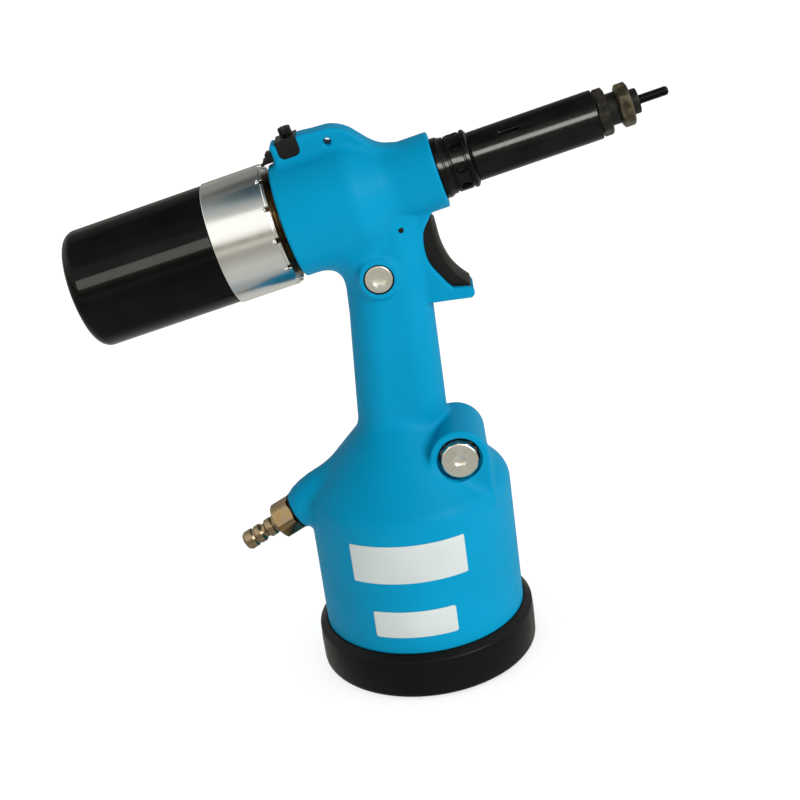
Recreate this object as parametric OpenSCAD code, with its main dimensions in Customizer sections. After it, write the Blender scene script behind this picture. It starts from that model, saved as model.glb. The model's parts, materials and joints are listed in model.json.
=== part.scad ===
// Pneumatic-hydraulic gun for setting threaded rivet inserts, in millimetres.
// +Z runs up the axis of the air cylinder from the underside of the base, +X points
// to the nose, and the head's axis lies in the XZ plane, tilted nose up.

/* [Base] */
// Outer radius of the rubber boot at the foot
boot_r = 60; // [59.5:0.5:61]
// Height of the boot's outer wall
boot_wall_h = 22.2; // [20:0.1:23]
// Height at which the boot's lip meets the air cylinder
boot_h = 25.6; // [25:0.1:28]

/* [Air cylinder] */
// Outer radius of the air cylinder
cyl_r = 55; // [54.5:0.5:55.5]
// Bore radius of the air cylinder
cyl_bore_r = 50; // [49.5:0.25:50.5]
// Height of the roof inside the air cylinder
cyl_roof_z = 93; // [92:0.5:94]

/* [Handle] */
// Front-to-back size of the grip
grip_l = 46; // [45:0.5:47]
// Side-to-side size of the grip
grip_w = 34; // [33:0.5:35]
// How far the grip's centre lies in front of the air cylinder's axis
grip_x = 3; // [2.5:0.25:3.5]

/* [Head] */
// Nose-up tilt of the head, in degrees
head_tilt = 11.8; // [11:0.1:12.5]
// Height at which the head's axis crosses the air cylinder's axis
head_z = 262; // [261:0.5:263]
// Radius of the wide rear barrel
barrel_r = 29.5; // [29.25:0.25:30]
// Radius of the slim front barrel
front_r = 19.6; // [19.4:0.1:20]

/* [Motor housing] */
// Outer radius of the rear cover
cover_r = 31; // [30.75:0.25:31.25]
// Outer radius of the stroke ring
ring_r = 31.7; // [31.5:0.1:32]

/* [Nose] */
// Outer radius of the nose sleeve
sleeve_r = 12.6; // [12.4:0.1:12.8]
// Thread radius of the mandrel
mandrel_r = 2.5; // [2:0.5:2.5]

/* [Motion] */
// Travel of the pull piston
pull_stroke = 7; // [5:0.5:7]

/* [Hidden] */
$fn = 64;
// Clearances: a loose gap between bodies, a running fit, and the gap of a seated part
gap = 0.3;
fit = 0.05;
seat = 0.05;

// Stations along the head's axis, from where it crosses the air cylinder's axis
cover_back = -155.4;
cover_front = -78.7;
ring_front = -46;
barrel_back = -42.8;
barrel_front = 37.4;
ring_notches = 12;

// Rear sleeve: a threaded tube that joins the casting, the ring and the cover
thread_r = 27;
sleeve_back = -96;
sleeve_step = -30;
spring_seat = -54;
stop_chamber_r = 22;

// Hydraulic cylinder in the head
head_bore_r = 19;
head_bore_front = -2;
piston_back = -20;
piston_front = -8;
rod_r = 9;
rod_front = 34;
tail_r = 11;
tail_back = -34;
nose_bore_r = 13;
gland_front = 10;

// Gearbox and air motor: teeth on the sun gear, the planets and the ring gear
gear_teeth = [12, 15, 42];
gear_module = 1;
ring_gear_r = thread_r - seat;
gear_front = -101;
gear_back = -109;
planet_pin_r = 2.5;
carrier_pitch_r = gear_module * (gear_teeth[0] + gear_teeth[1]) / 2;
rotor_r = 17;
rotor_back = -141.7;
rotor_front = -118.3;
liner_bore_r = 19.5;
liner_offset = 2.2;

// Nose
collar_front = 45;
lock_ring_front = 56;
spigot_r = 11;
spigot_front = 66;
nose_inner_r = 9.8;
sleeve_front = 120.7;
hex_front = 126.5;
neck_front = 131.5;
nut_front = 138.3;
anvil_front = 142.2;
mandrel_tip = 157.3;
anvil_r = 6.4;

// Ram and air piston
ram_r = 6.5;
ram_top = 190;
air_piston_z = 16;
air_piston_h = 12;
oil_bore_r = 8;
boot_floor = 3;

// Trigger
trigger_pin = [14.3, 245];
pin_r = 1.4;
pin_len = 31.6;
trigger_w = 14;
cheek_w = 21;
stem_z = 225;

// Valve boss on the right-hand foot of the handle
valve_x = 29;
valve_z = 124.2;
valve_face_y = -33;
valve_far_y = 8.4;
boss_r = 15.5;
counterbore = 3.8;
spot_reach = 9;

// Air inlet, which slopes down behind the air cylinder
inlet_x = -62;
inlet_z = 91.2;
inlet_slope = 26.5;
mouth_r = 10.2;

// Ridge on top of the head, with the reversing valve
ridge_w = 14;
block_back = -34.7;
block_front = -23.7;
block_low = 31.5;
block_top = 41.2;
knob_u = -27.8;

// Oil plug on the near side of the handle
plug_z = 222;
plug_face_y = -19.5;

// ---- placing ----

// Local +Z runs along the head's axis, and local -X points up from it.
module head_at(u) {
    translate([0, 0, head_z]) rotate([0, 90 - head_tilt, 0]) translate([0, 0, u]) children();
}

// A flat outline in (along the head, up from its axis), from one side to the other in Y.
module head_plate(low_y, high_y) {
    translate([0, 0, head_z]) rotate([0, -head_tilt, 0]) rotate([90, 0, 0])
        translate([0, 0, -high_y]) linear_extrude(high_y - low_y) children();
}

// A flat outline in (X, Z), from one side to the other in Y.
module side_plate(low_y, high_y) {
    rotate([90, 0, 0]) translate([0, 0, -high_y]) linear_extrude(high_y - low_y) children();
}

// Local +Z points out of the air inlet.
module inlet_at(u) {
    translate([inlet_x, 0, inlet_z]) rotate([0, -90 - inlet_slope, 0]) translate([0, 0, u]) children();
}

// Local +Z runs along +Y, from the given place.
module along_y(x, y, z) {
    translate([x, y, z]) rotate([-90, 0, 0]) children();
}

// ---- shared shapes ----

module ring(outer, inner, z0, z1) {
    difference() {
        translate([0, 0, z0]) cylinder(h = z1 - z0, r = outer);
        translate([0, 0, z0 - 1]) cylinder(h = z1 - z0 + 2, r = inner);
    }
}

module rod(r, z0, z1) {
    translate([0, 0, z0]) cylinder(h = z1 - z0, r = r);
}

// A hexagonal bar with its corners rounded off at round_r.
module hex_bar(flats, round_r, z0, z1) {
    intersection() {
        translate([0, 0, z0]) cylinder(h = z1 - z0, r = flats / sqrt(3), $fn = 6);
        rod(round_r, z0, z1);
    }
}

module o_ring(mean_r, wire_r, z) {
    translate([0, 0, z]) rotate_extrude() translate([mean_r, 0]) circle(r = wire_r, $fn = 24);
}

// A ball bearing: outer race, inner race and balls, all apart.
module bearing(outer, inner, z0, z1, balls) {
    mid = (outer + inner) / 2;
    ball_r = (outer - inner) / 5;
    centre = (z0 + z1) / 2;
    race = ball_r * 0.55;
    difference() {
        ring(outer, mid + race, z0, z1);
        o_ring(mid, ball_r + fit, centre);
    }
    difference() {
        ring(mid - race, inner, z0, z1);
        o_ring(mid, ball_r + fit, centre);
    }
    for (i = [0 : balls - 1])
        rotate([0, 0, i * 360 / balls]) translate([mid, 0, centre]) sphere(r = ball_r, $fn = 24);
}

// A coil spring, swept along its own helix from z0 to z1.
module coil(mean_r, wire_r, turns, z0, z1) {
    sides = 6;
    steps = 14 * turns;
    low = z0 + wire_r;
    rise = (z1 - z0 - 2 * wire_r) / steps;
    points = [
        for (i = [0 : steps], j = [0 : sides - 1])
            let (a = i * 360 * turns / steps, b = j * 360 / sides, r = mean_r + wire_r * cos(b))
            [r * cos(a), r * sin(a), low + i * rise + wire_r * sin(b)]
    ];
    walls = [
        for (i = [0 : steps - 1], j = [0 : sides - 1])
            let (k = (j + 1) % sides)
            [i * sides + j, i * sides + k, (i + 1) * sides + k, (i + 1) * sides + j]
    ];
    first = [for (j = [sides - 1 : -1 : 0]) j];
    last = [for (j = [0 : sides - 1]) steps * sides + j];
    polyhedron(points = points, faces = concat(walls, [first], [last]), convexity = 4);
}

// Involute of a base circle, at roll angle t in degrees: distance out and polar angle.
function roll_at(base, r) = sqrt(max(0, r * r / (base * base) - 1)) * 180 / PI;
function polar_at(base, r) = roll_at(base, r) - atan(roll_at(base, r) * PI / 180);

// Half the angle that a tooth fills at radius r, thinned for backlash.
function tooth_half(teeth, base, pitch, r, slack) =
    90 / teeth + polar_at(base, pitch) - polar_at(base, r) - slack / pitch * 180 / PI;

function gear_points(teeth, low, high, slack) =
    let (pitch = gear_module * teeth / 2, base = pitch * cos(20), start = max(low, base))
    [
        for (i = [0 : teeth - 1])
            let (mid = i * 360 / teeth)
            for (side = [-1, 1], k = [0 : 4])
                let (
                    step = side < 0 ? k : 4 - k,
                    r = step == 0 ? low : start + (high - start) * (step - 1) / 3,
                    half = tooth_half(teeth, base, pitch, max(r, start), slack)
                )
                [r * cos(mid + side * half), r * sin(mid + side * half)]
    ];

module gear_2d(teeth, low_cut, high_add, slack) {
    pitch = gear_module * teeth / 2;
    polygon(gear_points(teeth, pitch - low_cut * gear_module, pitch + high_add * gear_module, slack));
}

// ---- casting: head, handle and air cylinder in one piece ----

module barrel_outline() {
    polygon([
        [0, barrel_back], [barrel_r - 0.8, barrel_back], [barrel_r, barrel_back + 0.8],
        [barrel_r, -6], [front_r + 0.6, 13], [front_r, 16],
        [front_r, barrel_front - 0.8], [front_r - 0.8, barrel_front], [0, barrel_front]
    ]);
}

module cylinder_outline() {
    shoulder = 11;
    shoulder_z = 97;
    polygon(concat(
        [[0, 8], [cyl_r, 8]],
        [for (a = [0 : 15 : 45]) [cyl_r - shoulder + shoulder * cos(a), shoulder_z + shoulder * sin(a)]],
        [[17, 142.4], [0, 142.4]]
    ));
}

module grip_outline() {
    r = grip_w / 2;
    reach = grip_l / 2 - r;
    translate([grip_x - reach, 0]) circle(r = r);
    translate([grip_x + reach, 0]) circle(r = r);
    translate([grip_x, 0]) square([2 * reach, grip_w], center = true);
}

module ridge_outline() {
    polygon([
        [-38, 15], [-38, 39.4], [-37.4, 40], [-24, 40.6], [-15, 39.7], [-8, 39.3], [-3, 37.6],
        [1.8, 34.3], [5.7, 29.4], [9.6, 24.9], [14, 21], [14, 15]
    ]);
}

module cheek_outline() {
    polygon([
        [8, 252], [31, 252], [28.9, 247.4], [24.9, 239.5], [24.4, 231.5], [26.5, 223.6],
        [31.6, 215.8], [35.7, 209], [45.5, 208.6], [47.5, 206.5], [46.5, 202.8],
        [37, 203], [24, 202.8], [8, 202.8]
    ]);
}

module trigger_slot_outline() {
    polygon([
        [9, 249.2], [36, 249.2], [50, 212], [50, 204.9], [31, 204.9], [23, 213],
        [19.5, 228], [19.5, 234], [9, 238]
    ]);
}

module block_outline(grow) {
    corner = 3.2;
    wide = block_front - block_back + 2 * grow;
    translate([block_back - grow, block_low - grow]) {
        translate([corner, 0]) square([wide - 2 * corner, 20]);
        translate([0, corner]) square([wide, 20]);
        translate([corner, corner]) circle(r = corner);
        translate([wide - corner, corner]) circle(r = corner);
    }
}

module body_solid() {
    head_at(0) rotate_extrude() barrel_outline();
    translate([0, 0, 120]) linear_extrude(131) grip_outline();
    rotate_extrude($fn = 96) cylinder_outline();
    head_plate(-ridge_w / 2, ridge_w / 2) ridge_outline();
    side_plate(-cheek_w / 2, cheek_w / 2) cheek_outline();
    along_y(0, plug_face_y, plug_z) rod(10, 0, 12);
    along_y(valve_x, valve_face_y, valve_z) rod(boss_r, 0, valve_far_y - valve_face_y);
    translate([valve_x - boss_r, valve_face_y + 2, 104]) cube([2 * boss_r, valve_far_y - valve_face_y - 4, 20]);
    inlet_at(0) rotate_extrude() polygon([
        [0, -46], [14.2, -46], [14.2, -16], [13.4, -10], [12, -4.5], [mouth_r, 0], [0, 0]
    ]);
}

module head_bores() {
    head_at(0) {
        rod(thread_r + seat, barrel_back - 1, sleeve_step);
        rod(head_bore_r, sleeve_step - 1, head_bore_front);
        rod(nose_bore_r, head_bore_front - 1, barrel_front + 1);
    }
}

module ridge_cuts() {
    head_plate(-ridge_w, ridge_w) block_outline(seat);
    // Hanging hole through the ridge
    head_plate(-ridge_w, ridge_w) translate([-9.8, 33]) circle(r = 1.9);
    // Channel for the ring lock
    head_plate(-3.3, 3.3) translate([-39, 31]) square([10, 3.1]);
}

module handle_cuts() {
    translate([0, 0, 119]) cylinder(h = 127, r = oil_bore_r);
    translate([0, 0, cyl_roof_z - 1]) cylinder(h = 27, r = 12 + seat);
    // Air way from the main valve to the trigger valve
    translate([16, 0, 118]) cylinder(h = stem_z - 118, r = 2);
    translate([10, 0, stem_z]) rotate([0, 90, 0]) cylinder(h = 20, r = 4 + seat);
    side_plate(-trigger_w / 2 - 0.5, trigger_w / 2 + 0.5) trigger_slot_outline();
    along_y(trigger_pin[0], -cheek_w, trigger_pin[1]) cylinder(h = 2 * cheek_w, r = pin_r + seat);
    along_y(0, plug_face_y - 1, plug_z) cylinder(h = 20, r = 5 + seat);
    along_y(0, plug_face_y - 1, plug_z) cylinder(h = 5, r = 7.9);
}

module foot_cuts() {
    translate([0, 0, 7]) cylinder(h = cyl_roof_z - 7, r = cyl_bore_r, $fn = 96);
    along_y(valve_x, valve_face_y - spot_reach, valve_z) cylinder(h = counterbore + spot_reach, r = 12);
    along_y(valve_x, valve_face_y - 1, valve_z) cylinder(h = 13, r = 10.8);
    along_y(valve_x, valve_face_y - 1, valve_z) cylinder(h = 36, r = 8 + seat);
    inlet_at(0) {
        rod(6.6, -14, 1);
        rod(3, -44, 1);
    }
}

module body_casting() {
    color("deepskyblue") difference() {
        body_solid();
        head_bores();
        ridge_cuts();
        handle_cuts();
        foot_cuts();
    }
}

// ---- base ----

module base_boot() {
    inner = cyl_r + seat;
    edge = 3;
    color([0.07, 0.07, 0.08]) difference() {
        rotate_extrude($fn = 96) polygon(concat(
            [[0, 0], [boot_r - edge, 0]],
            [for (a = [-60 : 30 : 0]) [boot_r - edge + edge * cos(a), edge + edge * sin(a)]],
            [[boot_r, boot_wall_h - 1], [boot_r - 0.6, boot_wall_h]],
            [[inner + 1, boot_h - 0.6], [inner, boot_h], [inner, boot_floor], [0, boot_floor]]
        ));
        vents(-1, boot_floor + 2);
    }
}

// Exhaust vents, in the boot's floor and the end cap alike.
module vents(z0, z1) {
    for (i = [0 : 3]) rotate([0, 0, 45 + i * 90]) translate([20, 0, z0])
        cylinder(h = z1 - z0, r = 3);
}

module base_end_cap() {
    color("silver") difference() {
        union() {
            rod(cyl_bore_r - seat, boot_floor + seat, 14);
            rod(cyl_r - 1, boot_floor + seat, 7.95);
        }
        translate([0, 0, 9]) difference() {
            cylinder(h = 3, r = cyl_bore_r + 1, $fn = 96);
            translate([0, 0, -1]) cylinder(h = 5, r = 47.4, $fn = 96);
        }
        for (x = [-32, 32]) translate([x, 0, 2]) cylinder(h = 5, r = 3);
        vents(2, 15);
    }
}

module end_cap_seal() {
    color("black") o_ring(48.7, 1.2, 10.5);
}

module ram_gland() {
    color([0.72, 0.55, 0.3]) difference() {
        union() {
            rod(12, cyl_roof_z - seat, 118.9);
            rod(16, cyl_roof_z - 4, cyl_roof_z - seat);
        }
        translate([0, 0, 80]) cylinder(h = 60, r = ram_r + fit);
        o_ring(ram_r + 1.15, 1.3, 104);
    }
}

// ---- head: rear sleeve and hydraulic cylinder ----

module rear_sleeve() {
    pitch = 1.5;
    color([0.25, 0.21, 0.17]) head_at(0) difference() {
        union() {
            rod(thread_r - 0.9, sleeve_back, sleeve_step - seat);
            rod(thread_r - seat, sleeve_back, cover_front + 2);
            rod(thread_r - seat, barrel_back, sleeve_step - seat);
            // Crests of the thread on which the ring turns
            for (u = [cover_front + 3 : pitch : barrel_back])
                rod(thread_r, u, u + 0.75);
        }
        rod(stop_chamber_r, sleeve_back - 1, spring_seat - 3);
        rod(13.2, spring_seat - 4, spring_seat + 1);
        rod(20, spring_seat, sleeve_step + 1);
        // Slots for the stop's two pins
        for (side = [0, 180]) rotate([0, 0, 90 + side]) translate([0, -2.2, -68.2])
            cube([40, 4.4, 11]);
    }
}

module front_gland() {
    color([0.72, 0.55, 0.3]) head_at(0) difference() {
        rod(nose_bore_r - seat, head_bore_front, gland_front);
        rod(rod_r + fit, head_bore_front - 1, gland_front + 1);
        o_ring(rod_r + 1.15, 1.2, 4);
    }
}

module gland_seal() {
    color("black") head_at(4) o_ring(rod_r + 1.2, 1.1, 0);
}

module pull_piston() {
    color("silver") head_at(0) difference() {
        union() {
            rod(head_bore_r - fit, piston_back, piston_front);
            rod(rod_r, piston_front, rod_front);
            rod(tail_r, tail_back, piston_back);
        }
        rod(5.4, tail_back - 1, rod_front + 1);
        rod(8.6, tail_back - 1, piston_back);
        ring(head_bore_r + 1, head_bore_r - 2.2, -15.6, -12.4);
    }
}

module piston_seal() {
    color("black") head_at(0) ring(head_bore_r - fit, head_bore_r - 2.1, -15.5, -12.5);
}

module thrust_bearing() {
    color("gray") head_at(0) bearing(8.5, 5.6, -23.9, piston_back - 0.1, 10);
}

module return_spring() {
    color("dimgray") head_at(0) coil(15.8, 1.3, 5, spring_seat + 0.2, piston_back - 0.2);
}

// ---- stroke setting ----

module stroke_ring() {
    bore = thread_r + gap;
    color([0.82, 0.82, 0.8]) head_at(0) difference() {
        rotate_extrude($fn = 96) polygon([
            [bore, cover_front + 0.3], [ring_r - 0.5, cover_front + 0.3], [ring_r, cover_front + 0.8],
            [ring_r, ring_front - 2.2], [ring_r - 2.2, ring_front], [bore, ring_front]
        ]);
        // Groove that carries the stop's pins
        ring(thread_r + 1.7, thread_r - 1, -69.4, -56.4);
        for (i = [0 : ring_notches - 1]) rotate([0, 0, i * 360 / ring_notches])
            translate([-ring_r - 1, -1.2, ring_front - 3.4]) cube([2.6, 2.4, 4]);
    }
}

module stroke_stop() {
    color("slategray") head_at(0) difference() {
        union() {
            rod(12.8, -64.5, tail_back - pull_stroke - gap);
            rod(stop_chamber_r - 0.5, -67.5, -64);
            for (side = [0, 180]) rotate([0, 0, 90 + side]) translate([0, 0, -65.75])
                rotate([0, 90, 0]) cylinder(h = thread_r + 1.2, r = 1.7);
        }
        rod(7.4, -70, -30);
    }
}

module ring_lock() {
    color([0.06, 0.06, 0.07]) {
        head_plate(-3, 3) polygon([
            [-44.5, 32.1], [-43.6, 33.6], [-41.8, 33.6], [-41.8, 36], [-41, 36.6], [-38.6, 36.6],
            [-38.2, 36], [-38.2, 33.8], [-31.5, 33.8], [-31.5, 31.3], [-44.5, 31.3]
        ]);
        head_plate(-0.9, 0.9) polygon([[-45.6, 30.6], [-45.6, 31.9], [-44.4, 31.9], [-44.4, 30.6]]);
    }
}

// ---- rear cover, gearbox and air motor ----

module rear_cover() {
    edge = 6;
    wall = 4;
    color([0.04, 0.04, 0.05]) head_at(0) difference() {
        rotate_extrude($fn = 96) polygon(concat(
            [[0, cover_back], [cover_r - edge, cover_back]],
            [for (a = [-75 : 15 : 0]) [cover_r - edge + edge * cos(a), cover_back + edge + edge * sin(a)]],
            [[cover_r, cover_front - 0.6], [cover_r - 0.6, cover_front], [0, cover_front]]
        ));
        rod(thread_r + seat, cover_back + wall, cover_front + 1);
        for (i = [0 : 5]) rotate([0, 0, i * 60 + 30]) translate([15, 0, cover_back - 1])
            cylinder(h = wall + 2, r = 2.5);
        translate([0, 0, cover_back - 1]) cylinder(h = wall + 2, r = 4);
    }
}

module exhaust_silencer() {
    color([0.35, 0.35, 0.33]) head_at(0) ring(thread_r - 0.2, 5.5, cover_back + 4.1, -148.1);
}

module motor_liner() {
    color("gray") head_at(0) difference() {
        rod(thread_r - 0.1, -141.9, -118.1);
        translate([liner_offset, 0, -143]) cylinder(h = 26, r = liner_bore_r);
    }
}

module motor_rear_plate() {
    color("darkgray") head_at(0) ring(thread_r - 0.1, 9 + seat, -148, -142);
}

module motor_front_plate() {
    color("darkgray") head_at(0) ring(thread_r - 0.1, 11 + seat, -118, -112.1);
}

module rear_bearing() {
    color("lightsteelblue") head_at(0) bearing(9, 4 + fit, -147.5, -142.5, 8);
}

module front_bearing() {
    color("lightsteelblue") head_at(0) bearing(11, 5 + fit, -117.5, -112.5, 8);
}

module carrier_bearing() {
    color("lightsteelblue") head_at(0) bearing(stop_chamber_r - seat, 10 + fit, -90, -81, 10);
}

module ring_gear() {
    color("dimgray") head_at(-112) difference() {
        cylinder(h = 15.9, r = ring_gear_r);
        translate([0, 0, -1]) linear_extrude(18) gear_2d(gear_teeth[2], 0.8, 1.2, -0.1);
    }
}

module motor_rotor() {
    slots = 5;
    color("silver") head_at(0) {
        difference() {
            rod(rotor_r, rotor_back, rotor_front);
            for (i = [0 : slots - 1]) rotate([0, 0, i * 360 / slots])
                translate([8, -1.05, rotor_back - 1]) cube([20, 2.1, 26]);
        }
        rod(4, -147.5, rotor_back + 0.5);
        rod(5, rotor_front - 0.5, -112);
        rod(4, -113, gear_back + 0.5);
        translate([0, 0, gear_back]) linear_extrude(gear_front - gear_back)
            gear_2d(gear_teeth[0], 1.2, 0.8, 0.1);
    }
}

module rotor_vanes() {
    vanes = 5;
    color("saddlebrown") head_at(0)
        for (i = [0 : vanes - 1]) rotate([0, 0, i * 360 / vanes])
            translate([8.3, -0.95, rotor_back + 0.2]) cube([rotor_r - 8.4, 1.9, rotor_front - rotor_back - 0.4]);
}

module planet_carrier() {
    color("slategray") head_at(0) difference() {
        union() {
            rod(17.5, -100.6, -96.4);
            rod(10, -97, -72);
            for (i = [0 : 2]) rotate([0, 0, i * 120]) translate([carrier_pitch_r, 0, 0])
                rod(planet_pin_r, gear_back - 0.6, -100);
        }
        translate([0, 0, -92]) cylinder(h = 22, r = 12.1 / sqrt(3), $fn = 6);
    }
}

module planet(place) {
    color("darkgray") head_at(0) rotate([0, 0, place * 120]) translate([carrier_pitch_r, 0, gear_back])
        difference() {
            linear_extrude(gear_front - gear_back) gear_2d(gear_teeth[1], 1.2, 0.8, 0.1);
            translate([0, 0, -1]) cylinder(h = 10, r = planet_pin_r + fit);
        }
}

// ---- spindle and nose ----

module spindle() {
    color("silver") head_at(0) {
        translate([0, 0, -84]) cylinder(h = 40, r = 11.8 / sqrt(3), $fn = 6);
        rod(5.2, -44.5, 60);
        rod(8.3, -28, -24);
    }
}

module mandrel_chuck() {
    color("gray") head_at(0) difference() {
        rod(8, 44, 106);
        rod(5.2 + seat, 43, 60 + seat);
        translate([0, 0, 96]) cylinder(h = 12, r = 8.1 / sqrt(3), $fn = 6);
    }
}

module mandrel() {
    color([0.1, 0.1, 0.1]) head_at(0) {
        translate([0, 0, 96.1]) cylinder(h = 6, r = 8 / sqrt(3), $fn = 6);
        rod(mandrel_r - 0.45, 101, anvil_front + 1);
        rod(mandrel_r, anvil_front, mandrel_tip - 1);
        translate([0, 0, mandrel_tip - 1]) cylinder(h = 1, r1 = mandrel_r, r2 = mandrel_r - 0.8);
    }
}

module nose_adapter() {
    color([0.08, 0.08, 0.09]) head_at(0) difference() {
        union() {
            rod(nose_bore_r - seat, gland_front + seat, barrel_front + 1);
            rod(15.6, barrel_front + seat, 42);
            rod(14.6, 41, collar_front);
            rod(spigot_r, 44, spigot_front);
        }
        rod(rod_r + 0.5, 9, spigot_front + 1);
    }
}

module nose_lock_ring() {
    holes = 8;
    color([0.08, 0.08, 0.09]) head_at(0) difference() {
        rotate_extrude() polygon([
            [spigot_r + seat, collar_front + seat], [14.9, collar_front + seat], [14.9, 54.5],
            [12.8, lock_ring_front], [spigot_r + seat, lock_ring_front]
        ]);
        for (i = [0 : holes - 1]) rotate([0, 0, 22.5 + i * 360 / holes]) translate([0, 0, 49])
            rotate([0, 90, 0]) cylinder(h = 20, r = 2.7);
    }
}

module nose_sleeve() {
    color([0.08, 0.08, 0.09]) head_at(0) difference() {
        rod(sleeve_r, lock_ring_front + seat, sleeve_front);
        rod(spigot_r + seat, lock_ring_front - 1, spigot_front + 0.2);
        rod(nose_inner_r, spigot_front, sleeve_front + 1);
        // Sight slot for the chuck
        rotate([0, 0, -136]) for (x = [73, 80])
            translate([0, 0, x]) rotate([0, 90, 0]) cylinder(h = 20, r = 2);
        rotate([0, 0, -136]) translate([5, -2, 73]) cube([15, 4, 7]);
    }
}

module tip_adapter() {
    color([0.2, 0.2, 0.21]) head_at(0) difference() {
        union() {
            rod(nose_inner_r - seat, 108, sleeve_front + 0.5);
            hex_bar(22, 12.2, sleeve_front + seat, hex_front);
            rod(8.1, hex_front - 0.5, neck_front);
        }
        rod(anvil_r + seat, 100, neck_front + 1);
    }
}

module lock_nut() {
    color([0.24, 0.21, 0.16]) head_at(0) difference() {
        hex_bar(20.4, 11.1, neck_front + seat, nut_front);
        rod(anvil_r + seat, neck_front - 1, nut_front + 1);
    }
}

module anvil() {
    color([0.13, 0.12, 0.12]) head_at(0) difference() {
        union() {
            rod(anvil_r, 112, anvil_front - 1);
            translate([0, 0, anvil_front - 1]) cylinder(h = 1, r1 = anvil_r, r2 = anvil_r - 0.7);
        }
        rod(mandrel_r + 0.1, 111, anvil_front + 1);
    }
}

// ---- ram and air piston ----

module air_piston() {
    color("silver") difference() {
        rod(cyl_bore_r - gap, air_piston_z, air_piston_z + air_piston_h);
        ring(cyl_bore_r + 1, 46.4, air_piston_z + 4, air_piston_z + 8);
        ring(44, 13, air_piston_z - 1, air_piston_z + 3);
        rod(ram_r + seat, air_piston_z - 1, air_piston_z + air_piston_h + 1);
    }
}

module air_piston_seal() {
    color("black") ring(cyl_bore_r - 0.1, 46.5, air_piston_z + 4.1, air_piston_z + 7.9);
}

module ram_rod() {
    color("gainsboro") rod(ram_r, air_piston_z - 0.4, ram_top);
}

module ram_spring() {
    color("dimgray") coil(26, 1.5, 6, air_piston_z + air_piston_h + 0.2, cyl_roof_z - 0.2);
}

// ---- trigger and valves ----

module trigger_outline() {
    polygon([
        [15, 247.6], [27, 248], [31, 247.6], [32.4, 246.3], [33, 235.8], [35.1, 227.8],
        [39.2, 219.8], [46, 212.6], [46.6, 210], [46, 207.6], [37, 207.6], [31, 212],
        [26.5, 219], [24, 228], [24, 235], [19, 241], [15, 242.4]
    ]);
}

module trigger() {
    lug_r = 3.4;
    color([0.07, 0.07, 0.08]) difference() {
        union() {
            side_plate(-trigger_w / 2, trigger_w / 2) trigger_outline();
            along_y(trigger_pin[0], 0, trigger_pin[1]) rod(lug_r, -trigger_w / 2, trigger_w / 2);
        }
        along_y(trigger_pin[0], -trigger_w, trigger_pin[1]) cylinder(h = 2 * trigger_w, r = pin_r + 0.08);
    }
}

module trigger_pin() {
    color("dimgray") along_y(trigger_pin[0], -pin_len / 2, trigger_pin[1])
        cylinder(h = pin_len, r = pin_r);
}

module trigger_valve_body() {
    color([0.72, 0.55, 0.3]) translate([10.2, 0, stem_z]) rotate([0, 90, 0]) ring(4, 1.6, 0, 9);
}

module trigger_stem() {
    color("silver") translate([0, 0, stem_z]) rotate([0, 90, 0]) {
        rod(1.5, 12.5, 23.9);
        rod(2.6, 22.2, 23.9);
    }
}

module valve_sleeve() {
    color([0.72, 0.55, 0.3]) along_y(valve_x, 0, valve_z) difference() {
        rod(8, -20.9, 1.8);
        rod(4 + fit, -22, 3);
        for (y = [-16, -9, -2]) translate([0, 0, y]) rotate([0, 90, 0])
            cylinder(h = 30, r = 1.2, center = true);
    }
}

module valve_spool() {
    color("silver") along_y(valve_x, 0, valve_z) {
        rod(4, -19.5, -15);
        rod(2.4, -15.5, -5);
        rod(4, -11.5, -8);
        rod(4, -5.5, -1.5);
    }
}

module valve_cap() {
    dimple_r = 3.3;
    color([0.78, 0.76, 0.72]) along_y(valve_x, 0, valve_z) difference() {
        union() {
            rod(10.7, -28, -21.1);
            hex_bar(19, 9.9, -35.2, -27.5);
        }
        rod(4.2, -24, -20);
        translate([0, 0, -35.3]) cylinder(h = 1.6, r1 = dimple_r, r2 = dimple_r - 1.2);
    }
}

module valve_cap_seal() {
    color("black") along_y(valve_x, 0, valve_z) ring(10.7, 9.95, -29.6, -28.05);
}

module oil_plug() {
    color([0.78, 0.76, 0.72]) along_y(0, plug_face_y, plug_z) difference() {
        union() {
            rod(7.2, 0.1, 3.9);
            rod(5, 3.5, 10);
        }
        translate([0, 0, -1]) cylinder(h = 4, r = 6 / sqrt(3), $fn = 6);
    }
}

module oil_plug_seal() {
    color("black") along_y(0, plug_face_y, plug_z) ring(7.8, 7.25, 0.2, 3.9);
}

// ---- air inlet ----

module inlet_gasket() {
    color("black") inlet_at(0) ring(mouth_r, 6.7, 0.02, 0.8);
}

module inlet_fitting() {
    color([0.66, 0.58, 0.44]) inlet_at(0) difference() {
        union() {
            rod(6.55, -12, 1.5);
            hex_bar(18.4, 10, 0.85, 12.8);
        }
        rod(3.6, -13, 3);
        rod(4.4, 2, 14);
    }
}

module inlet_nipple() {
    color([0.72, 0.66, 0.52]) inlet_at(0) rotate_extrude() polygon([
        [3, 4], [4.3, 4], [4.3, 14.4], [5.2, 15.4], [5.2, 19.6], [4.1, 20.6], [4.1, 22.4],
        [5.2, 23.4], [5.2, 26.6], [4.5, 27.2], [4.5, 28], [5.3, 28.8], [5.3, 33], [4.4, 34.5], [3, 34.5]
    ]);
}

// ---- labels ----

// A thin plate that follows the air cylinder, between two angles from the near side.
module curved_label(low_z, high_z, left, right) {
    thick = 0.3;
    rotate([0, 0, left - 90]) rotate_extrude(angle = right - left, $fn = 96)
        translate([cyl_r + 0.02, low_z]) square([thick, high_z - low_z]);
}

module upper_label() {
    color([0.8, 0.84, 0.82]) curved_label(67.4, 89.2, -37.7, 28.3);
}

module lower_label() {
    color([0.8, 0.84, 0.82]) curved_label(35, 50.4, -28.4, 18.3);
}

// ---- reversing valve on the ridge ----

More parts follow.
